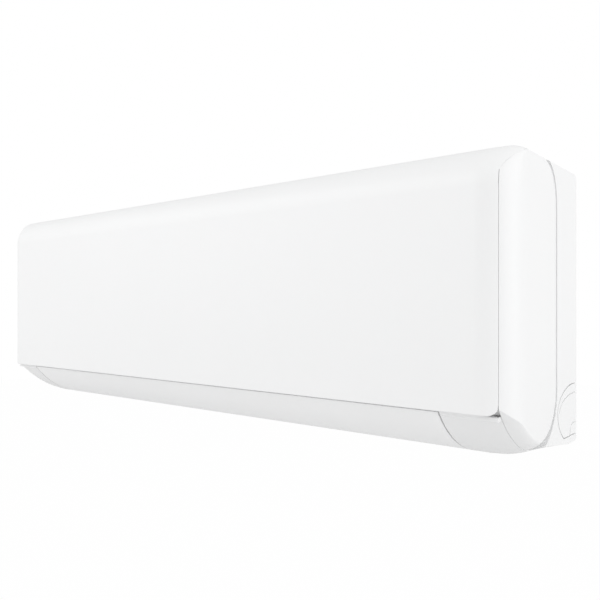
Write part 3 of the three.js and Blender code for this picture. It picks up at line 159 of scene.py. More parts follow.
def bar(x0, x1, depth, height, radius, sides=48):
    return extruded("bar", circle(depth, height, radius, sides), x0, x1)


def loft(name, stations, outlineAt):
    rings = [[(x, *p) for p in outlineAt(x)] for x in stations]
    count = len(rings[0])
    faces = []
    for s in range(len(rings) - 1):
        for i in range(count):
            a = s * count + i
            b = s * count + (i + 1) % count
            faces.append([a, b, b + count, a + count])
    last = (len(rings) - 1) * count
    faces += [list(range(count))[::-1], list(range(last, last + count))]
    return meshPiece(name, [p for ring in rings for p in ring], faces)


def band(line, thick):
    # the outline of a strip of even thickness along an open line of (depth, height) points
    points = [Vector(p) for p in line]
    sides = [[], []]
    for i, point in enumerate(points):
        before = (point - points[max(i - 1, 0)]).normalized()
        after = (points[min(i + 1, len(points) - 1)] - point).normalized()
        if i == 0:
            before = after
        if i == len(points) - 1:
            after = before
        across = (before + after).normalized()
        reach = thick / 2 / max(across.dot(after), 0.3)
        for side, sign in zip(sides, (1, -1)):
            side.append((point.x - sign * across.y * reach, point.y + sign * across.x * reach))
    return sides[0] + sides[1][::-1]


def arc(centre, radii, start, end, steps, power=2):
    points = []
    for i in range(steps + 1):
        angle = start + (end - start) * i / steps
        c, s = math.cos(angle), math.sin(angle)
        x = math.copysign(abs(c) ** (2 / power), c)
        y = math.copysign(abs(s) ** (2 / power), s)
        points.append((centre[0] + radii[0] * x, centre[1] + radii[1] * y))
    return points


def softEdges(piece, width=0.0, angle=35, segments=2):
    # small rounded edges and smooth shading between them
    if width:
        step = piece.modifiers.new("softEdges", "BEVEL")
        step.width = width / 1000
        step.segments = segments
        step.limit_method = "ANGLE"
        step.angle_limit = math.radians(angle)
        step.use_clamp_overlap = True
        applied(piece)
    piece.data.shade_smooth()
    piece.data.set_sharp_from_angle(angle=math.radians(angle))
    even = piece.modifiers.new("evenNormals", "WEIGHTED_NORMAL")
    even.keep_sharp = True
    return piece


# form of the casing

def roundInset(radius, run):
    return 0 if run <= 0 else radius - math.sqrt(max(radius ** 2 - run ** 2, 0))


def frontInset(x):
    return roundInset(casing["frontCorner"], abs(x) - (halfLength - casing["frontCorner"]))


def bottomRise(x):
    length, rise = casing["riseLength"], casing["rise"]
    radius = (length ** 2 + rise ** 2) / (2 * rise)
    return roundInset(radius, abs(x) - (halfLength - length))


def sweepCentre():
    start = Vector((casing["hemDepth"], casing["hemHeight"] - 1.2))
    end = Vector((casing["curveEnd"], -halfHeight + 0.7))
    chord = end - start
    run = math.sqrt(casing["curveRadius"] ** 2 - chord.length ** 2 / 4) / chord.length
    return (start + end) / 2 + run * Vector((-chord.y, chord.x))


curveCentre = sweepCentre()


def lowerCurve(depth, inset=0):
    radius = casing["curveRadius"] - inset
    return curveCentre.y - math.sqrt(radius ** 2 - (depth - curveCentre.x) ** 2)


def casingOutline(x, inset, back):
    front = frontInset(x) + inset
    rise = bottomRise(x)
    hem = max(casing["hemDepth"], front + 0.6)
    beyond = max(abs(x) - capRim, 0) / (sideHalf - capRim)
    top = halfHeight - inset - casing["sideDrop"] * beyond ** 2
    bottom = -halfHeight + inset
    steps = casing["curveSteps"]

    def onCurve(depth):
        return (depth, max(lowerCurve(depth, inset), bottom) + rise)

    curled = frontInset(x) >= casing["hemDepth"]
    corner = lowerCurve(front, inset) + rise if curled else casing["hemHeight"] + inset
    lower = [onCurve(hem + (casing["curveEnd"] - hem) * (i + 1) / steps) for i in range(steps)]
    rearFlat = bottom + rise * 0.1
    topRear = max(casing["topRear"] - max(inset, 0), 1)
    bottomRear = max(casing["bottomRear"] - max(inset, 0), 1)
    topFront = casing["topFront"]
    return [
        (front, max(corner, bottom)), onCurve(hem), *lower, (casing["depth"] - 30, rearFlat),
        *arc((back - bottomRear, rearFlat + bottomRear), (bottomRear, bottomRear), -quarter, 0, 8),
        *arc((back - topRear, top - topRear), (topRear, topRear), 0, quarter, 8),
        *arc((topFront, halfHeight - topFront), (topFront - front, topFront + top - halfHeight),
             quarter, 2 * quarter, casing["arcSteps"]),
    ]


def endStations():
    # close together where the ends curl
    start = halfLength - casing["riseLength"]
    stations = [start]
    steps = casing["endSteps"]
    corner = casing["frontCorner"]
    limit = math.asin((sideHalf - halfLength + corner) / corner)
    for i in range(steps + 1):
        stations.append(halfLength - corner + corner * math.sin(limit * i / steps))
    return [-x for x in stations[::-1]] + stations


def casingSolid(inset=0, back=None):
    rear = rearDepth - inset if back is None else back
    return loft("casing", endStations(), lambda x: casingOutline(x, inset, rear))


def casingSkin():
    skin = casing["skin"]
    hollow = casingSolid(skin, casing["depth"] + 20)
    ends = [block(-sideHalf - 1, -sideHalf + skin, -1, 230, -far, far),
            block(sideHalf - skin, sideHalf + 1, -1, 230, -far, far)]
    return cut(casingSolid(), [cut(hollow, ends)])


# front panel

panel = {
    "half": 436, "wall": 2.6, "hemRear": 7.5, "hemCorner": 1.1, "lowCorner": 10,
    "lipRear": 39, "lipLow": 142, "lipHalf": 424,
    "frontRows": [-84, -60, -20, 20, 60, 95, 110], "arcSteps": 20, "lowSteps": 6,
    "earCentre": (76, 114), "earRadii": (69, 36.5), "earEnd": 449.1, "earSteps": 18,
    "hinges": [-420, -266, 266, 420], "notchHalf": 10, "notchFront": 35.3,
    "hingeDepth": 40, "hingeHeight": 146, "pin": 1.6, "earHalf": 8, "armHalf": 2,
    "edge": 0.4,
}


def earLine(depth, lift):
    # height of the arc that parts the panel's ear from the end cap
    centre, radii = panel["earCentre"], panel["earRadii"]
    share = min(abs(centre[0] - depth) / radii[0], 1)
    return centre[1] + lift + radii[1] * math.sqrt(1 - share ** 2)


def aboveEar(depth, lift, x0, x1):
    centre, radii = panel["earCentre"], panel["earRadii"]
    start, steps = centre[0] - radii[0], 40
    line = [start + (depth - start) * (i / steps) ** 2 for i in range(steps + 1)]
    outline = [(-5, far), (-5, centre[1] + lift)] + [(d, earLine(d, lift)) for d in line] + [(depth, far)]
    return extruded("aboveEar", outline, x0, x1)


def topRadii(x):
    # the panel's upper curve: its reach in depth and height, falling over the ends
    run = max(abs(x) - capRim, 0) / casing["capReach"]
    topFront = casing["topFront"]
    return topFront - frontInset(x), topFront - cap["topDrop"] * run ** 2


def lipAngle(x, inset=0):
    return math.acos((casing["topFront"] - panel["lipRear"] + inset) / topRadii(x)[0])


def earAngle(x):
    # where the ear starts on the upper curve at x
    topFront = casing["topFront"]
    radii = topRadii(max(abs(x), capRim))
    low, high = 0.0, lipAngle(max(abs(x), capRim))
    for i in range(40):
        middle = (low + high) / 2
        depth = topFront - radii[0] * math.cos(middle)
        height = halfHeight - topFront + radii[1] * math.sin(middle)
        if height < earLine(depth, casing["gap"]):
            low = middle
        else:
            high = middle
    return high


def panelColumns():
    corner = casing["frontCorner"]
    half = panel["half"]
    start = halfLength - corner
    limit = math.asin((half - start) / corner)
    right = [start + corner * math.sin(limit * i / 16) for i in range(17)]
    low = half - panel["lowCorner"]
    right += [low + panel["lowCorner"] * math.sin(quarter * i / 10) for i in range(11)]
    right += [60, 120, 190, 330, 370, panel["lipHalf"]]
    first = math.asin((capRim - start) / corner)
    last = math.asin((panel["earEnd"] - start) / corner)
    right += [start + corner * math.sin(first + (last - first) * i / panel["earSteps"])
              for i in range(panel["earSteps"] + 1)]
    kept = [half, panel["lipHalf"], capRim]
    for x in panel["hinges"]:
        if x > 0:
            kept += [x - panel["notchHalf"], x + panel["notchHalf"]]
    tiny = 1e-6

    def isFixed(x):
        return any(abs(x - k) < tiny for k in kept)

    # columns that crowd each other are left out, but never a kept one
    columns = []
    for x in sorted(right + kept):
        step = x - columns[-1] if columns else far
        bothFixed = columns and isFixed(x) and isFixed(columns[-1]) and step > tiny
        if step < (0.2 if x > half else 0.35) and not bothFixed:
            if isFixed(x):
                columns[-1] = x
            continue
        columns.append(x)
    return [-x for x in columns[::-1]] + [0] + columns


def panelProfile(x, inset):
    # outer (inset 0) or inner line of the panel at x, from the hem round to the lip
    front = frontInset(x)
    lean = math.asin(min(max(abs(x) - halfLength + casing["frontCorner"], 0) / casing["frontCorner"], 1))
    side = math.copysign(1, x)
    run = abs(x) - (panel["half"] - panel["lowCorner"])
    low = casing["hemHeight"] + roundInset(panel["lowCorner"], min(run, panel["lowCorner"]))
    hem = max(panel["hemRear"], front + panel["wall"] + 0.4)
    corner = panel["hemCorner"]
    if inset:
        line = [(x, hem, low + inset)] + [(x, front + inset, low + inset)] * 5
    else:
        line = [(x, hem, low)]
        bend = arc((front + corner, low + corner), (corner, corner), 3 * quarter, 2 * quarter, 4)
        line += [(x, *p) for p in bend]
    line += [(x, front + inset, height) for height in panel["frontRows"]]
    topFront = casing["topFront"]
    deep, tall = topRadii(x)
    start = earAngle(x)
    notch = math.acos((topFront - panel["notchFront"]) / deep)
    angles = [start * i / panel["lowSteps"] for i in range(1, panel["lowSteps"] + 1)]
    angles += [start + (notch - start) * i / panel["arcSteps"] for i in range(1, panel["arcSteps"] + 1)]
    angles.append(lipAngle(x, inset * math.cos(lean)))
    for angle in angles:
        c, s = math.cos(angle), math.sin(angle)
        line.append((x - side * inset * math.sin(lean) * c, topFront - (deep - inset * math.cos(lean)) * c,
                     halfHeight - topFront + (tall - inset) * s))
    line.append((line[-1][0], panel["lipRear"] - inset, panel["lipLow"]))
    return line


def sheetPiece(name, outer, inner, skipped):
    # a closed sheet between two grids of points; skipped(i, j) leaves a cell open
    rows = len(outer[0])
    points = [p for line in outer for p in line]
    shift = len(points)
    points += [p for line in inner for p in line]
    cells = {(i, j) for i in range(len(outer) - 1) for j in range(rows - 1) if not skipped(i, j)}
    faces = []
    for i, j in cells:
        a, b = i * rows + j, (i + 1) * rows + j
        faces.append([a, a + 1, b + 1, b])
        faces.append([a + shift, b + shift, b + 1 + shift, a + 1 + shift])
        for (ni, nj), (p, q) in (((i - 1, j), (a + 1, a)), ((i + 1, j), (b, b + 1)),
                                 ((i, j - 1), (a, b)), ((i, j + 1), (b + 1, a + 1))):
            if (ni, nj) not in cells:
                faces.append([q, p, p + shift, q + shift])
    piece = meshPiece(name, points, [f[::-1] for f in faces])
    weld = piece.modifiers.new("weld", "WELD")
    weld.merge_threshold = 0.00001
    return applied(piece)


def frontPanel():
    columns = panelColumns()
    outer = [panelProfile(x, 0) for x in columns]
    inner = [panelProfile(x, panel["wall"]) for x in columns]
    rows = len(outer[0])
    earRow = 6 + len(panel["frontRows"]) + panel["lowSteps"] - 1

    def skipped(i, j):
        middle = (columns[i] + columns[i + 1]) / 2
        inNotch = any(abs(middle - h) < panel["notchHalf"] for h in panel["hinges"])
        beyond = abs(middle) > panel["half"] and j < earRow
        return beyond or (inNotch and j >= rows - 3) or (abs(middle) > panel["lipHalf"] and j == rows - 2)

    return softEdges(sheetPiece("frontPanel", outer, inner, skipped), panel["edge"], 32, 3)


def panelArms():
    depth, height = panel["hingeDepth"], panel["hingeHeight"]
    parts = []
    for x in panel["hinges"]:
        outline = [(depth - 9, halfHeight - 2.4), (depth - 9, height - 5), (depth - 2, height - 3.2),
                   *arc((depth, height), (2.8, 2.8), -quarter, quarter, 8), (depth - 4.4, halfHeight - 1.4)]
        parts.append(extruded("arm", outline, x - panel["armHalf"], x + panel["armHalf"]))
        reach = panel["earHalf"] - 0.5
        parts.append(bar(x - reach, x + reach, depth, height, panel["pin"], 24))
    return softEdges(join("panelHingeArms", parts))


# end caps

cap = {
    "reach": casing["capReach"], "wall": 2, "rear": 131, "rearFillet": 10, "topDrop": 4.6,
    "cornerDepth": 75, "upperCorner": 95, "lowerCorner": -85, "cornerPower": 2.8,
    "lowerRound": 11, "lowerShare": 0.3,   # the lower edge rises this share of a full rounding
    "groove": 2, "grooveWall": 2.4, "edge": 0.5, "steps": 16,
    "hollowSteps": 8, "hollowStart": 0.06,
}


def capOutline(x, inset):
    run = max(abs(x) - capRim, 0)
    front = frontInset(x) + inset
    rear = cap["rear"] - roundInset(cap["rearFillet"], abs(x) - (halfLength - cap["rearFillet"])) - inset
    top = halfHeight - cap["topDrop"] * (run / cap["reach"]) ** 2 - inset
    edge = roundInset(cap["lowerRound"], abs(x) - (halfLength - cap["lowerRound"]))
    rise = bottomRise(x) + edge * cap["lowerShare"]
    corner = cap["cornerDepth"]
    lowReach = cap["lowerCorner"] - lowerCurve(corner, inset) - rise
    topFront = casing["topFront"]
    lower = []
    for i in range(16):
        depth = front + (corner - front) * i / 16
        lower.append((depth, lowerCurve(depth, inset) + rise))
    return [
        *lower,
        *arc((corner, cap["lowerCorner"]), (rear - corner, lowReach), -quarter, 0, 22),
        *arc((corner, cap["upperCorner"]), (rear - corner, top - cap["upperCorner"]), 0, quarter, 26,
             cap["cornerPower"]),
        *arc((topFront, halfHeight - topFront), (topFront - front, topFront + top - halfHeight),
             quarter, 2 * quarter, 18),
    ]


def endCap():
    corner = casing["frontCorner"]
    start = halfLength - corner
    first = math.asin((capRim - start) / corner)
    outer = [start + corner * math.sin(first + (quarter - first) * i / cap["steps"])
             for i in range(cap["steps"] + 1)]
    body = loft("endCapRight", outer, lambda x: capOutline(x, 0))
    reach = cap["reach"] - cap["wall"]
    before, count = cap["hollowStart"], cap["hollowSteps"]
    inner = [capRim + reach * ((1 + before) * i / count - before) for i in range(count + 1)]
    hollow = loft("hollow", inner,
                  lambda x: capOutline(x + cap["wall"] * (x - capRim) / cap["reach"], cap["wall"]))
    return cut(body, [hollow, aboveEar(front["deckFront"], 0, 400, 500)])


def rimPrism(grow, x0, x1):
    return extruded("rim", capOutline(capRim, -grow), x0, x1)


# rear casing and its knock-out covers

rear = {
    "fanDepth": 116, "fanHeight": -8,
    "scrollFrom": 0.66, "scrollTo": -1.05, "scrollNear": 60, "scrollGrowth": 24, "scrollSteps": 40,
    "lip": (87, -145.4), "channelTop": -62, "pipeTop": -86,
    "troughFront": 144, "troughHeight": 36,
    "ribs": [-300, -100, 100, 300], "saddles": [390, 419.8], "saddleWall": 6, "motorRadius": 40,
    "ductHalf": 377, "ductWall": 2.4, "deckRear": 185.7, "grilleTop": 145.2,
    "knockCentre": (190, -112), "knockReach": 54.5, "knockUpper": 27, "knockLower": 36, "knockBottom": -140,
    "knockGap": 1.2, "ringReach": 49.5, "ringUpper": 18, "drainReach": 24, "drainUpper": 13,
    "grooveDeep": 1.4, "grooveWide": 1.2,
    "hooks": [-250, -90, 90, 250], "hookHalf": 7, "hookHeight": 100, "plateWall": 1.5,
    "shaft": 4, "bearingSeat": 13, "pipeHole": 9, "channelDepth": 180, "gasHeight": -98,
    "liquidHeight": -122, "drainPlace": (32, -60), "drainHole": 6,
}


def scrollLine():
    points = []
    for i in range(rear["scrollSteps"] + 1):
        share = i / rear["scrollSteps"]
        angle = rear["scrollFrom"] - (rear["scrollFrom"] - rear["scrollTo"]) * share
        radius = rear["scrollNear"] + rear["scrollGrowth"] * share ** 1.5
        points.append((rear["fanDepth"] + radius * math.cos(angle),
                       rear["fanHeight"] + radius * math.sin(angle)))
    return points + [rear["lip"]]


def toWall(line, x0, x1):
    # a closed outline in the side's rear lower corner that runs out through the wall side
    beyond = casing["depth"] + 1
    return extruded("arch", [(beyond, line[0][1]), *line, (beyond, line[-1][1])], x0, x1)


def knockArch(grow, x0, x1):
    centre, reach = rear["knockCentre"], rear["knockReach"] + grow
    lower = rear["knockLower"] + grow
    drop = math.asin((centre[1] - rear["knockBottom"] + grow) / lower)
    return toWall([*arc(centre, (reach, lower), 2 * quarter + drop, 2 * quarter, 24),
                   *arc(centre, (reach, rear["knockUpper"] + grow), 2 * quarter, quarter, 32)[1:]], x0, x1)


def rearCasing():
    skin, gap = casing["skin"], casing["gap"]
    frameRear, backWall = casing["frameRear"], casing["backWall"]
    behind = casing["depth"] + 20
    duct, wall = rear["ductHalf"], rear["ductWall"]
    fanDepth, fanHeight = rear["fanDepth"], rear["fanHeight"]

    def sides(make):
        return [make(1), make(-1)]

    def sideBlock(sign, x0, x1, *rest):
        return block(*sorted((sign * x0, sign * x1)), *rest)

    region = join("region", [
        block(-sideHalf, sideHalf, frameRear + gap, behind, -far, halfHeight - 12),
        block(-sideHalf, sideHalf, rear["deckRear"] + gap, behind, 0, far),
        *sides(lambda s: sideBlock(s, frameHalf + gap, sideHalf, cap["cornerDepth"], behind, -far, far))])
    openBack = block(-sideHalf + skin, sideHalf - skin, backWall, behind,
                     -halfHeight + skin, halfHeight - skin)
    grooves = [rimPrism(cap["groove"], frameHalf + gap / 2, 600),
               rimPrism(cap["groove"], -600, -frameHalf - gap / 2)]
    shell = cut(shared(casingSkin(), [region]), [openBack, *grooves])

    webRoom = join("webRoom", [
        block(frameHalf + gap, sideHalf, cap["cornerDepth"], behind, -far, far),
        block(frameHalf - skin, sideHalf, frameRear + gap, behind, -far, far)])
    web = cut(rimPrism(cap["groove"] + cap["grooveWall"], frameHalf - skin, sideHalf),
              [rimPrism(cap["groove"], frameHalf - skin - 1, sideHalf + 1)])
    shared(web, [webRoom, casingSolid(0.4)])
    flange = shared(casingSolid(skin + 0.6), [block(
        frameHalf - skin, frameHalf, frameRear + gap, cap["rear"] + cap["groove"] + cap["grooveWall"],
        -far, halfHeight - 8)])
    line = scrollLine()
    scroll = extruded("scroll", band(line, skin), -duct - 1, duct + 1)
    trough = extruded("trough", band([(rear["troughFront"], rear["troughHeight"] + 6),
                                      (rear["troughFront"], rear["troughHeight"]),
                                      (backWall + 1, rear["troughHeight"])], skin), -duct - 1, duct + 1)
    ribs = []
    for x in rear["ribs"]:
        hollow = extruded("hollow", [*line, (fanDepth - 20, fanHeight - 60), (fanDepth, fanHeight + 30)],
                          -duct, duct)
        ribs.append(cut(block(x, x + skin, fanDepth + 40, backWall + 1, rear["channelTop"],
                              rear["troughHeight"]), [hollow]))
    partition = shared(casingSolid(skin + 0.8), [block(
        duct, duct + wall, 18.4, backWall + 1, -far, rear["grilleTop"] - 6)])
    saddles = []
    for x in rear["saddles"]:
        radius = rear["motorRadius"]
        saddle = extruded("saddle", [
            (fanDepth - radius - 8, fanHeight), (fanDepth - radius - 8, fanHeight - 12),
            (fanDepth - 12, fanHeight - radius - 8), (backWall + 1, fanHeight - radius - 8),
            (backWall + 1, fanHeight)], x, x + rear["saddleWall"])
        bed = bar(x - 1, x + rear["saddleWall"] + 1, fanDepth, fanHeight, radius + gap, 64)
        saddles.append(cut(saddle, [bed]))
    back = shared(block(-sideHalf + 1, sideHalf - 1, backWall, backWall + skin,
                        rear["channelTop"], halfHeight - 1), [casingSolid(0.4)])
    corners = sides(lambda s: sideBlock(s, duct, sideHalf - 1, backWall, backWall + skin,
                                        rear["pipeTop"], rear["channelTop"] + 1))
    body = join("rearCasing", [
        shell, *both(web), *both(flange), back, *corners, scroll, trough, *ribs, *both(partition), *saddles])
    holes = [bar(duct - 1, duct + 5, fanDepth, fanHeight, rear["shaft"] + 3),
             bar(-duct - 5, -duct + 1, fanDepth, fanHeight, rear["bearingSeat"]),
             bar(-duct - 5, duct + 5, louver["pivotDepth"], louver["pivotHeight"], louver["pin"] + 0.35),
             bar(-duct - 5, -duct + 1, *rear["drainPlace"], rear["drainHole"]),
             *both(knockArch(rear["knockGap"], sideHalf - 4, 600))]
    for depth, height in [(rear["channelDepth"], rear["gasHeight"]),
                          (rear["channelDepth"], rear["liquidHeight"]), *pipeStarts()]:
        holes.append(bar(duct - 1, duct + 5, depth, height, rear["pipeHole"]))
    hookHeight = rear["hookHeight"]
    for x in rear["hooks"]:
        holes.append(block(x - rear["hookHalf"] - 1, x + rear["hookHalf"] + 1, backWall - 1, behind,
                           hookHeight - 8, hookHeight + rear["plateWall"] + gap))
    return softEdges(cut(body, holes))


def pipeStarts():
    # where the two pipes pass the right-hand partition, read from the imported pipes
    starts = []
    for node in ("gas_pipe", "liquid_pipe"):
        points = [v.co for v in frame["nodes"][node].data.vertices]
        leftmost = [p for p in points if p.z > 0 and p.x < min(q.x for q in points if q.z > 0) + 0.001]
        middle = sum(leftmost, Vector()) / len(leftmost)
        starts.append((middle.y * 1000 + casing["depth"], middle.z * 1000))
    return starts


def pipeHoleCover():
    cover = shared(knockArch(0, sideHalf - casing["skin"], sideHalf),
                   [block(sideHalf - casing["skin"], sideHalf, 0, rearDepth, -far, far)])
    floor = sideHalf - rear["grooveDeep"]
    centre, bottom = rear["knockCentre"], rear["knockBottom"]

    def ring(shrink, drop, x0, x1):
        reach, upper = rear["ringReach"] - shrink, rear["ringUpper"] - shrink
        return toWall([(centre[0] - reach, centre[1] - drop),
                       *arc(centre, (reach, upper), 2 * quarter, quarter, 32)], x0, x1)

    def small(shrink, drop, x0, x1):
        reach, upper = rear["drainReach"] - rear["drainUpper"], rear["drainUpper"] - shrink
        middle = casing["depth"] - rear["drainUpper"] + shrink
        return toWall([(middle - reach, bottom - 2 - drop),
                       *arc((middle, bottom), (reach, upper), 2 * quarter, quarter, 20)], x0, x1)

    wide = rear["grooveWide"]
    return cut(cover, [cut(ring(0, 0, floor, 600), [ring(wide, 1, floor - 1, 700)]),
                       cut(small(0, 0, floor, 600), [small(wide, 1, floor - 1, 700)])])


# front frame

front = {
    "deckFront": 43.5, "grilleFront": 51.5, "grilleRear": 178.5, "grilleHalf": 376,
    "railBottom": 141, "beamDepth": 14, "beamBottom": -97, "beamTop": -66,
    "button": (395, -80), "buttonHole": 4.35, "panelSeat": 0.4,
}
louver = {
    "pivotDepth": 61, "pivotHeight": -123, "gap": 0.7, "thickness": 7, "edge": 2.2, "pin": 3,
    "sweep": 33, "lugWall": 3, "pinReach": 7, "endGap": 1.6, "steps": 40, "rounding": 0.5,
}


def hingeEars(x):
    depth, height = panel["hingeDepth"], panel["hingeHeight"]
    parts = []
    for x0, x1 in ((x - panel["earHalf"], x - panel["armHalf"] - 0.5),
                   (x + panel["armHalf"] + 0.5, x + panel["earHalf"])):
        parts.append(bar(x0, x1, depth, height, panel["pin"] + 2.1, 32))
        parts.append(block(x0, x1, depth - 1, front["deckFront"] + 1, height - 4, height - 0.6))
    ears = join("ears", parts)
    return cut(ears, [bar(x - 10, x + 10, depth, height, panel["pin"] + 0.35, 24)])


def frontFrame():
    skin, gap = casing["skin"], casing["gap"]
    frameRear = casing["frameRear"]
    duct = rear["ductHalf"]
    hem = casing["hemHeight"]
    deckFront, grilleHalf = front["deckFront"], front["grilleHalf"]
    grilleFront, grilleRear = front["grilleFront"], front["grilleRear"]

    def behindPanel(*sizes):
        # what stays clear of the panel's inner face
        seat = casingSolid(panel["wall"])
        seat.data.transform(Matrix.Translation((0, front["panelSeat"] / 1000, front["panelSeat"] / 1000)))
        return shared(block(*sizes), [seat, casingSolid(panel["wall"])])

    side = behindPanel(frameHalf - skin, frameHalf, 0, frameRear, -far, halfHeight - skin - 0.7)
    corner = panel["lowCorner"]
    fill = behindPanel(frameHalf - 2.6 * corner, frameHalf, 0, front["beamDepth"] + 1,
                       hem - 5, hem + 1.5 * corner)
    sideTop = block(frameHalf - skin, frameHalf, deckFront, frameRear, halfHeight - 6, halfHeight)
    sideLow = shared(casingSolid(), [block(frameHalf - skin, frameHalf, 0, frameRear, -far, hem - 5)])
    deck = cut(block(-frameHalf, frameHalf, deckFront, rear["deckRear"], halfHeight - skin, halfHeight),
               [block(-grilleHalf - gap, grilleHalf + gap, grilleFront - gap, grilleRear + gap, 0, far)])
    low = rear["grilleTop"] - inside["grilleThick"] - 0.2
    rails = [
        block(-frameHalf, frameHalf, deckFront, deckFront + 3, front["railBottom"], halfHeight),
        block(-grilleHalf - 3, grilleHalf + 3, grilleFront - 3, grilleFront - gap, low, halfHeight),
        block(-grilleHalf - 3, grilleHalf + 3, grilleRear + gap, grilleRear + 3, low, halfHeight),
        block(grilleHalf + gap, grilleHalf + 3, grilleFront - 3, grilleRear + 3, low, halfHeight),
        block(-grilleHalf - 3, -grilleHalf - gap, grilleFront - 3, grilleRear + 3, low, halfHeight)]
    curveEnd = casing["curveEnd"] + 0.8
    outlet = extruded("outlet", [(0, hem), (curveEnd, hem), (curveEnd, -far), (0, -far)], -duct, duct)
    sweep = bar(-duct, duct, louver["pivotDepth"], louver["pivotHeight"], louver["sweep"], 96)
    lowBand = cut(shared(casingSkin(), [block(
        -frameHalf, frameHalf, casing["hemDepth"] + gap, frameRear, -far, hem - 0.9)]), [outlet, sweep])
    beamDepth = front["beamDepth"]
    beam = block(-frameHalf + 2, frameHalf - 2, beamDepth, beamDepth + skin,
                 front["beamBottom"], front["beamTop"])
    ledge = block(duct + rear["ductWall"] + gap, frameHalf - 1, casing["hemDepth"] + 2, beamDepth + 8,
                  hem - 5.5, hem - 1.5)
    tie = block(duct + 3, duct + 6, beamDepth, beamDepth + 5, hem - 5, front["beamTop"])
    pairs = [half for piece in (side, fill, sideTop, sideLow, ledge, tie) for half in both(piece)]
    body = join("frontFrame", [lowBand, deck, *rails, beam, *pairs, *[hingeEars(x) for x in panel["hinges"]]])
    hole = buttonRound(front["buttonHole"], beamDepth - 10, beamDepth + 10, 32)
    return softEdges(cut(body, [hole]))


def buttonRound(radius, depth0, depth1, sides):
    ring = circle(*front["button"], radius, sides)
    points = [(x, depth, height) for depth in (depth0, depth1) for x, height in ring]
    return meshPiece("round", points, prismFaces(sides))


# louver

def louverBlade():
    start = casing["hemDepth"] + louver["gap"]
    end = casing["curveEnd"] - 0.3
    outer, inner = [], []
    for i in range(louver["steps"] + 1):
        share = i / louver["steps"]
        depth = start + (end - start) * share
        height = lowerCurve(depth)
        thick = louver["edge"] + (louver["thickness"] - louver["edge"]) * math.sin(math.pi * share)
        scale = thick / casing["curveRadius"]
        outer.append((depth, height))
        inner.append((depth + (curveCentre.x - depth) * scale, height + (curveCentre.y - height) * scale))
    half = rear["ductHalf"] - louver["endGap"]
    blade = extruded("louverBlade", outer + inner[::-1], -half, half)
    softEdges(blade, louver["rounding"], 40, 3)
    blade.modifiers.clear()
    depth, height = louver["pivotDepth"], louver["pivotHeight"]
    parts = [blade]
    for x in (-half, half - louver["lugWall"]):
        lug = extruded("lug", [
            (depth - 12, lowerCurve(depth - 12) + 3), (depth + 10, lowerCurve(depth + 10) + 3),
            (depth + 5, height), *arc((depth, height), (5, 5), 0, 2 * quarter, 12)], x, x + louver["lugWall"])
        parts.append(lug)
    parts += [bar(half - 1, half + louver["pinReach"], depth, height, louver["pin"], 32),
              bar(-half - louver["pinReach"], -half + 1, depth, height, louver["pin"], 32)]
    return softEdges(join("louverBlade", parts))


# fan, heat exchanger, grille and filters

inside = {
    "fanRadius": 47, "blades": 35, "sections": 9, "disc": 1.6, "bladeDepth": 12, "bow": 5.2, "bladeWall": 1.1,
    "bladeSteps": 8, "discSides": 70,
    "fanHalf": 369, "hub": 12, "shaft": 4, "shaftEnds": (-385, 392.7),
    "coilHalf": 352, "coilThick": 24, "fins": 320, "finWall": 0.5, "core": 1.5,
    "slabs": {"evaporator_front": ((42, -58), (42, 62)), "evaporator_upper": ((50, 66), (98, 130)),
              "evaporator_rear": ((119, 122), (160.6, 53.7))},
    "grilleThick": 4, "bars": 22, "barWall": 1.2, "ribs": 8, "ribWall": 1.6,
    "filterThick": 3.6, "filterRim": 6, "filterStart": 3, "filterRib": 1.6, "filterCells": (5, 3),
    "strand": 0.35, "strandPitch": 2.6, "tabHalf": 20, "tabDeep": 13,
    "motorEnds": (385, 431), "motorSeam": 23, "motorBoss": 16,
}


class Pile:
    # closed shells gathered into one mesh
    def __init__(self):
        self.points = []
        self.faces = []

    def add(self, points, faces):
        start = len(self.points)
        self.points += points
        self.faces += [[start + i for i in face] for face in faces]

    def box(self, x0, x1, depth0, depth1, height0, height1):
        corners = [(x, d, h) for x in (x0, x1) for d in (depth0, depth1) for h in (height0, height1)]
        self.add(corners, [[0, 1, 3, 2], [4, 6, 7, 5], [0, 4, 5, 1],
                           [2, 3, 7, 6], [0, 2, 6, 4], [1, 5, 7, 3]])

    def prism(self, outline, x0, x1):
        self.add(*prism(outline, x0, x1))

    def tube(self, x0, x1, depth, height, inner, outer, sides):
        rings = [[(x, *p) for p in circle(depth, height, radius, sides)]
                 for x, radius in ((x0, inner), (x0, outer), (x1, outer), (x1, inner))]
        faces = []
        for k in range(4):
            for i in range(sides):
                j, m = (i + 1) % sides, (k + 1) % 4
                faces.append([k * sides + i, k * sides + j, m * sides + j, m * sides + i])
        self.add([p for ring in rings for p in ring], [f[::-1] for f in faces])

    def piece(self, name):
        return meshPiece(name, self.points, self.faces)


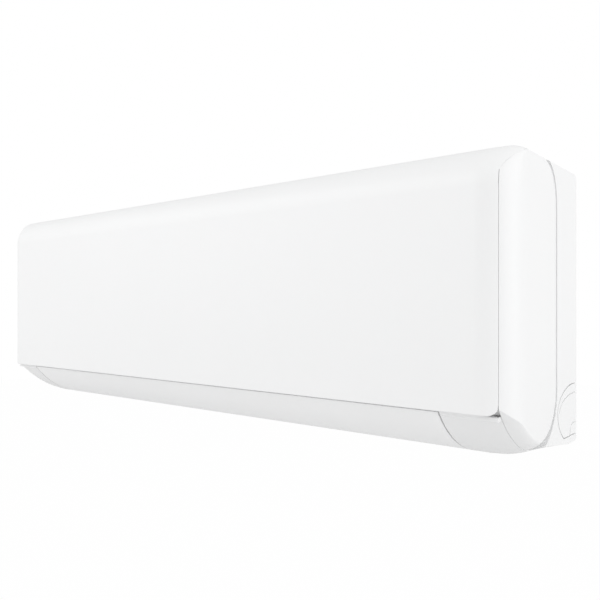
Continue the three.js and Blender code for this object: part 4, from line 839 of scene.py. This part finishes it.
def crossflowFan():
    pile = Pile()
    depth, height = rear["fanDepth"], rear["fanHeight"]
    radius, half = inside["fanRadius"], inside["fanHalf"]
    tip, root = radius - 0.5, radius - inside["bladeDepth"]
    line = []
    for k in range(inside["bladeSteps"] + 1):
        share = k / inside["bladeSteps"]
        line.append((tip + (root - tip) * share, inside["bow"] * math.sin(math.pi * share) + share * 0.2))
    outline = band(line, inside["bladeWall"])
    for i in range(inside["blades"]):
        turn = 2 * math.pi * i / inside["blades"]
        c, s = math.cos(turn), math.sin(turn)
        section = [(depth + u * c - v * s, height + u * s + v * c) for u, v in outline]
        pile.prism(section, -half + 1, half - 1)
    pitch = (2 * half - inside["disc"]) / inside["sections"]
    for i in range(1, inside["sections"]):
        x = -half + pitch * i
        pile.tube(x, x + inside["disc"], depth, height, root - 3, radius, inside["discSides"])
    for x in (-half, half - inside["disc"]):
        pile.prism(circle(depth, height, radius, inside["discSides"]), x, x + inside["disc"])
    ends = inside["shaftEnds"]
    for x0, x1, size in ((ends[0], -half, inside["shaft"]), (half, ends[1], inside["shaft"]),
                         (-half - 4, -half, inside["hub"]), (half, half + 4, inside["hub"])):
        pile.prism(circle(depth, height, size, 32), x0, x1)
    return softEdges(pile.piece("crossflowFan"))


def coilSlab(node, ends):
    # thin fins square to the unit's length, threaded on a core
    (d0, h0), (d1, h1) = ends
    along = Vector((d1 - d0, h1 - h0))
    out = Vector((-along.y, along.x)).normalized()
    pile = Pile()
    half, face = inside["coilHalf"], inside["coilThick"] / 2

    def strip(reach):
        return [tuple(Vector((d0, h0)) + out * reach), tuple(Vector((d1, h1)) + out * reach),
                tuple(Vector((d1, h1)) - out * reach), tuple(Vector((d0, h0)) - out * reach)]

    fins = inside["fins"]
    pitch = (2 * half - inside["finWall"]) / (fins - 1)
    for i in range(fins):
        x = -half + pitch * i
        pile.prism(strip(face), x, x + inside["finWall"])
    pile.prism(strip(face - inside["core"]), -half + 0.1, half - 0.1)
    words = node.split("_")
    return pile.piece(words[0] + words[1].capitalize())


def intakeGrille():
    pile = Pile()
    top = rear["grilleTop"]
    base = top - inside["grilleThick"]
    half, d0, d1 = front["grilleHalf"], front["grilleFront"], front["grilleRear"]
    for x0, x1, e0, e1 in ((-half, half, d0, d0 + 3), (-half, half, d1 - 3, d1),
                           (-half, -half + 3, d0, d1), (half - 3, half, d0, d1)):
        pile.box(x0, x1, e0, e1, base, top)
    for i in range(1, inside["bars"]):
        depth = d0 + (d1 - d0 - inside["barWall"]) * i / inside["bars"]
        pile.box(-half + 1, half - 1, depth, depth + inside["barWall"], base + 0.4, top - 0.3)
    for i in range(1, inside["ribs"]):
        x = -half + (2 * half - inside["ribWall"]) * i / inside["ribs"]
        pile.box(x, x + inside["ribWall"], d0 + 1, d1 - 1, base + 0.2, top - 0.6)
    return pile.piece("intakeGrille")


def airFilter():
    frameBars, net = Pile(), Pile()
    rim, rib = inside["filterRim"], inside["filterRib"]
    x0, x1 = inside["filterStart"], front["grilleHalf"] - casing["gap"]
    d0, d1 = front["grilleFront"], front["grilleRear"]
    base = rear["grilleTop"] + casing["gap"]
    top = base + inside["filterThick"]
    for a0, a1, b0, b1 in ((x0, x1, d0, d0 + rim), (x0, x1, d1 - rim, d1),
                           (x0, x0 + rim, d0, d1), (x1 - rim, x1, d0, d1)):
        frameBars.box(a0, a1, b0, b1, base, top)
    cells, rows = inside["filterCells"]
    for i in range(1, cells):
        x = x0 + rim + (x1 - x0 - 2 * rim) * i / cells - rib / 2
        frameBars.box(x, x + rib, d0 + 1, d1 - 1, base + 0.1, top - 0.2)
    for j in range(1, rows):
        depth = d0 + rim + (d1 - d0 - 2 * rim) * j / rows - rib / 2
        frameBars.box(x0 + 1, x1 - 1, depth, depth + rib, base + 0.15, top - 0.3)
    middle = (x0 + x1) / 2
    frameBars.box(middle - inside["tabHalf"], middle + inside["tabHalf"],
                  d0 + rim - 1, d0 + rim + inside["tabDeep"], base + 0.3, top)
    size, pitch = inside["strand"], inside["strandPitch"]
    count = int((x1 - x0 - 2 * rim) / pitch)
    for i in range(count + 1):
        x = x0 + rim + i * pitch
        net.box(x, x + size, d0 + rim - 1, d1 - rim + 1, base + 0.6, base + 0.6 + size)
    count = int((d1 - d0 - 2 * rim) / pitch)
    for j in range(count + 1):
        depth = d0 + rim + j * pitch
        net.box(x0 + rim - 1, x1 - rim + 1, depth, depth + size, base + 0.7, base + 0.7 + size)
    return softEdges(frameBars.piece("airFilterFrame"), 0.25), net.piece("airFilterNet")


def turned(name, profile, sides):
    # a body turned about the fan's axis from (x, radius) points
    depth, height = rear["fanDepth"], rear["fanHeight"]
    points, faces = [], []
    for x, radius in profile:
        points += [(x, *p) for p in circle(depth, height, radius, sides)]
    for k in range(len(profile) - 1):
        for i in range(sides):
            j = (i + 1) % sides
            faces.append([k * sides + i, k * sides + j, (k + 1) * sides + j, (k + 1) * sides + i])
    last = (len(profile) - 1) * sides
    faces += [list(range(sides))[::-1], list(range(last, last + sides))]
    return softEdges(meshPiece(name, points, faces), 0.6)


def fanMotor():
    # a round shell with sloped ends and the seam between its halves
    (start, end), full = inside["motorEnds"], rear["motorRadius"] - 0.1
    seam, boss = start + inside["motorSeam"], inside["motorBoss"]
    return turned("fanMotor", [
        (start, boss - 2), (start + 2, full - 7.9), (start + 4.6, full), (seam - 1, full),
        (seam - 0.4, full - 0.7), (seam + 0.4, full - 0.7), (seam + 1, full),
        (end - 7, full), (end - 4, full - 7.9), (end - 2.5, boss), (end, boss)], 72)


# building the shells

pieces = []


def addPiece(piece, body, slot, *nodes):
    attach(piece, body)
    if nodes:
        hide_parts(*nodes)
    pieces.append((piece, slot))


addPiece(frontPanel(), "panel", "casing", "front_panel")
addPiece(panelArms(), "panel", "casing")
capRight = endCap()
capLeft = mirrored(capRight, "endCapLeft")
for piece, node in ((capRight, "end_cap_right"), (capLeft, "end_cap_left")):
    addPiece(softEdges(piece, cap["edge"], 24, 3), "casing", "casing", node)
coverRight = pipeHoleCover()
coverRight.name = "pipeHoleCoverRight"
coverLeft = mirrored(coverRight, "pipeHoleCoverLeft")
for piece, node in ((coverRight, "pipe_hole_cover_right"), (coverLeft, "pipe_hole_cover_left")):
    addPiece(softEdges(piece), "casing", "casing", node)
addPiece(rearCasing(), "casing", "casing", "rear_casing")
addPiece(frontFrame(), "casing", "casing", "front_frame")
addPiece(louverBlade(), "louver", "louver", "louver")
addPiece(crossflowFan(), "fan", "dark", "crossflow_fan")
for node, ends in inside["slabs"].items():
    addPiece(coilSlab(node, ends), "casing", "fins", node)
addPiece(intakeGrille(), "casing", "inner", "intake_grille")
addPiece(fanMotor(), "casing", "motor", "fan_motor")
# the filter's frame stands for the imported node, and its net rides along
for piece, nodes in zip(airFilter(), (["air_filter_right"], [])):
    left = mirrored(piece, piece.name + "Left")
    if piece.modifiers:
        left.modifiers.new("evenNormals", "WEIGHTED_NORMAL").keep_sharp = True
    addPiece(piece, "filter_right", "net", *nodes)
    addPiece(left, "filter_left", "net", *[node.replace("right", "left") for node in nodes])
print("shells built:", len(pieces), "pieces")


# finishes

def material(name):
    finish = bpy.data.materials.new(name)
    finish.use_nodes = True
    nodes = finish.node_tree.nodes
    shader = nodes["Principled BSDF"]
    coordinates = nodes.new("ShaderNodeTexCoord")
    return finish, nodes, finish.node_tree.links, shader, coordinates.outputs["Object"]


def noise(nodes, links, vector, scale, detail):
    texture = nodes.new("ShaderNodeTexNoise")
    texture.inputs["Scale"].default_value = scale
    texture.inputs["Detail"].default_value = detail
    links.new(vector, texture.inputs["Vector"])
    return texture.outputs["Fac"]


def addBump(nodes, links, shader, height, strength, distance):
    bump = nodes.new("ShaderNodeBump")
    bump.inputs["Strength"].default_value = strength
    bump.inputs["Distance"].default_value = distance
    links.new(height, bump.inputs["Height"])
    links.new(bump.outputs["Normal"], shader.inputs["Normal"])


def vary(nodes, links, shader, share, roughness, stops, colours):
    # roughness and tone that follow the same noise
    gloss = nodes.new("ShaderNodeMapRange")
    gloss.inputs["To Min"].default_value, gloss.inputs["To Max"].default_value = roughness
    links.new(share, gloss.inputs["Value"])
    links.new(gloss.outputs["Result"], shader.inputs["Roughness"])
    tone = nodes.new("ShaderNodeValToRGB")
    for i, (position, colour) in enumerate(zip(stops, colours)):
        tone.color_ramp.elements[i].position = position
        tone.color_ramp.elements[i].color = (*colour, 1)
    links.new(share, tone.inputs["Fac"])
    links.new(tone.outputs["Color"], shader.inputs["Base Color"])


def darker(colour, share):
    return [c * (1 - share) for c in colour]


plasticLook = {
    "ior": 1.5, "grainDetail": 4, "grainDistance": 0.00008, "driftScale": 9, "driftDetail": 3,
    "glossSpread": 0.04, "stops": (0.35, 0.7),
}
metalLook = {
    "lineDetail": 5, "lineDistance": 0.0001, "glossBelow": 0.1, "glossAbove": 0.12,
    "stops": (0, 1), "tone": 0.18,
}


def mouldedPlastic(name, look):
    # satin plastic: fine mould grain, a slow drift of gloss and a trace of tone
    finish, nodes, links, shader, place = material(name)
    shader.inputs["IOR"].default_value = plasticLook["ior"]
    shader.inputs["Coat Weight"].default_value = look.get("coat", 0)
    shader.inputs["Coat Roughness"].default_value = look.get("coatRoughness", 0.1)
    grain = noise(nodes, links, place, look["grain"], plasticLook["grainDetail"])
    addBump(nodes, links, shader, grain, look["bump"], plasticLook["grainDistance"])
    drift = noise(nodes, links, place, plasticLook["driftScale"], plasticLook["driftDetail"])
    middle, spread = look["roughness"], plasticLook["glossSpread"]
    vary(nodes, links, shader, drift, (middle - spread, middle + spread), plasticLook["stops"],
         (darker(look["colour"], look["tone"]), look["colour"]))
    return finish


def metal(name, look):
    # sheet or turned metal with fine drawn lines along x
    finish, nodes, links, shader, place = material(name)
    shader.inputs["Metallic"].default_value = 1
    stretch = nodes.new("ShaderNodeMapping")
    stretch.inputs["Scale"].default_value = look["stretch"]
    links.new(place, stretch.inputs["Vector"])
    lines = noise(nodes, links, stretch.outputs["Vector"], look["grain"], metalLook["lineDetail"])
    addBump(nodes, links, shader, lines, look["bump"], metalLook["lineDistance"])
    middle = look["roughness"]
    vary(nodes, links, shader, lines, (middle - metalLook["glossBelow"], middle + metalLook["glossAbove"]),
         metalLook["stops"], (darker(look["colour"], metalLook["tone"]), look["colour"]))
    return finish


finishes = {
    "casing": mouldedPlastic("glossWhite", {
        "colour": (0.875, 0.878, 0.88), "roughness": 0.42, "grain": 2600, "bump": 0.05, "tone": 0.006,
        "coat": 0.06, "coatRoughness": 0.3}),
    "louver": mouldedPlastic("satinLouver", {
        "colour": (0.93, 0.932, 0.934), "roughness": 0.45, "grain": 2600, "bump": 0.08, "tone": 0.012}),
    "inner": mouldedPlastic("innerMoulding", {
        "colour": (0.72, 0.73, 0.72), "roughness": 0.45, "grain": 1800, "bump": 0.15, "tone": 0.03}),
    "dark": mouldedPlastic("darkMoulding", {
        "colour": (0.035, 0.037, 0.04), "roughness": 0.5, "grain": 1500, "bump": 0.2, "tone": 0.2}),
    "net": mouldedPlastic("filterGrey", {
        "colour": (0.13, 0.14, 0.15), "roughness": 0.6, "grain": 2200, "bump": 0.3, "tone": 0.1}),
    "board": mouldedPlastic("boardGreen", {
        "colour": (0.02, 0.12, 0.05), "roughness": 0.4, "grain": 900, "bump": 0.2, "tone": 0.25}),
    "rubber": mouldedPlastic("softRubber", {
        "colour": (0.02, 0.02, 0.02), "roughness": 0.8, "grain": 700, "bump": 0.4, "tone": 0.3}),
    "foam": mouldedPlastic("pipeFoam", {
        "colour": (0.7, 0.7, 0.68), "roughness": 0.85, "grain": 420, "bump": 0.9, "tone": 0.08}),
    "motor": mouldedPlastic("greyPaint", {
        "colour": (0.42, 0.43, 0.44), "roughness": 0.38, "grain": 1200, "bump": 0.15, "tone": 0.06}),
    "fins": metal("finStock", {
        "colour": (0.45, 0.62, 0.7), "roughness": 0.36, "grain": 160, "bump": 0.15, "stretch": (6, 1, 1)}),
    "copper": metal("copperTube", {
        "colour": (0.72, 0.36, 0.21), "roughness": 0.3, "grain": 120, "bump": 0.1, "stretch": (0.2, 1, 1)}),
    "steel": metal("zincSheet", {
        "colour": (0.6, 0.62, 0.64), "roughness": 0.38, "grain": 240, "bump": 0.12, "stretch": (0.05, 1, 1)}),
    "brass": metal("turnedBrass", {
        "colour": (0.7, 0.52, 0.22), "roughness": 0.28, "grain": 300, "bump": 0.1, "stretch": (1, 1, 1)}),
}
slotOf = {part["node"]: part["material_slot"] for part in frame["record"]["subparts"]}


def dress(piece, finish):
    piece.data.materials.clear()
    piece.data.materials.append(finish)


for piece, slot in pieces:
    dress(piece, finishes[slot])
for name, node in frame["nodes"].items():
    for place in node.material_slots:
        place.material = finishes[slotOf[name]]
print("finishes made:", len(finishes))


# studio

studio = {
    "cameraPlace": (0.6594, -0.7461, -0.001), "turn": 39.3, "lens": 38.18, "shift": 0.0125,
    "sensor": 36, "clipStart": 0.01,
    "floorHeight": -1.0, "floorHalf": 8, "floorColour": (0.8, 0.8, 0.8, 1), "floorGlow": 0.985, "world": 0.75,
    "lamps": {
        "frontLamp": {"place": (-1.7, -2.6, 1.3), "target": (0, -0.1, 0), "size": (3, 3), "power": 40},
        "sideLamp": {"place": (2.4, -0.1, 0.5), "target": (0.4, -0.1, 0), "size": (2, 2.2), "power": 19},
    },
}


def makeCamera():
    data = bpy.data.cameras.new("camera")
    data.lens = studio["lens"]
    data.sensor_width = studio["sensor"]
    data.shift_y = studio["shift"]
    data.clip_start = studio["clipStart"]
    camera = bpy.data.objects.new("camera", data)
    camera.location = studio["cameraPlace"]
    camera.rotation_euler = (math.radians(90), 0, math.radians(studio["turn"]))
    bpy.context.scene.collection.objects.link(camera)
    bpy.context.scene.camera = camera


def softLamp(name, place, target, size, power):
    data = bpy.data.lights.new(name, "AREA")
    data.shape = "RECTANGLE"
    data.size, data.size_y = size
    data.energy = power
    lamp = bpy.data.objects.new(name, data)
    lamp.location = place
    lamp.rotation_euler = (Vector(target) - Vector(place)).to_track_quat("-Z", "Y").to_euler()
    bpy.context.scene.collection.objects.link(lamp)


def makeFloor():
    # a pale floor, near white to the camera, with a trace of the object's shadow
    height, half = studio["floorHeight"], studio["floorHalf"]
    corners = [(-half, -half, height), (half, -half, height), (half, half, height), (-half, half, height)]
    mesh = bpy.data.meshes.new("floor")
    mesh.from_pydata(corners, [], [(0, 1, 2, 3)])
    floor = bpy.data.objects.new("floor", mesh)
    bpy.context.scene.collection.objects.link(floor)
    finish, nodes, links, shader, place = material("paleFloor")
    shader.inputs["Base Color"].default_value = studio["floorColour"]
    shader.inputs["Roughness"].default_value = 0.9
    ray = nodes.new("ShaderNodeLightPath")
    glow = nodes.new("ShaderNodeEmission")
    glow.inputs["Strength"].default_value = 1
    mix = nodes.new("ShaderNodeMixShader")
    share = nodes.new("ShaderNodeMath")
    share.operation = "MULTIPLY"
    share.inputs[1].default_value = studio["floorGlow"]
    links.new(ray.outputs["Is Camera Ray"], share.inputs[0])
    links.new(share.outputs["Value"], mix.inputs["Fac"])
    links.new(shader.outputs["BSDF"], mix.inputs[1])
    links.new(glow.outputs["Emission"], mix.inputs[2])
    links.new(mix.outputs["Shader"], nodes["Material Output"].inputs["Surface"])
    floor.data.materials.append(finish)


def makeWorld():
    world = bpy.data.worlds.new("studio")
    bpy.context.scene.world = world
    world.use_nodes = True
    nodes, links = world.node_tree.nodes, world.node_tree.links
    soft = nodes["Background"]
    soft.inputs["Color"].default_value = (1, 1, 1, 1)
    soft.inputs["Strength"].default_value = studio["world"]
    white = nodes.new("ShaderNodeBackground")
    white.inputs["Color"].default_value = (1, 1, 1, 1)
    white.inputs["Strength"].default_value = 1
    ray = nodes.new("ShaderNodeLightPath")
    mix = nodes.new("ShaderNodeMixShader")
    links.new(ray.outputs["Is Camera Ray"], mix.inputs["Fac"])
    links.new(soft.outputs["Background"], mix.inputs[1])
    links.new(white.outputs["Background"], mix.inputs[2])
    links.new(mix.outputs["Shader"], nodes["World Output"].inputs["Surface"])


makeCamera()
makeFloor()
makeWorld()
for name, lamp in studio["lamps"].items():
    softLamp(name, **lamp)
bpy.context.scene.view_settings.view_transform = "Standard"
print("studio ready")
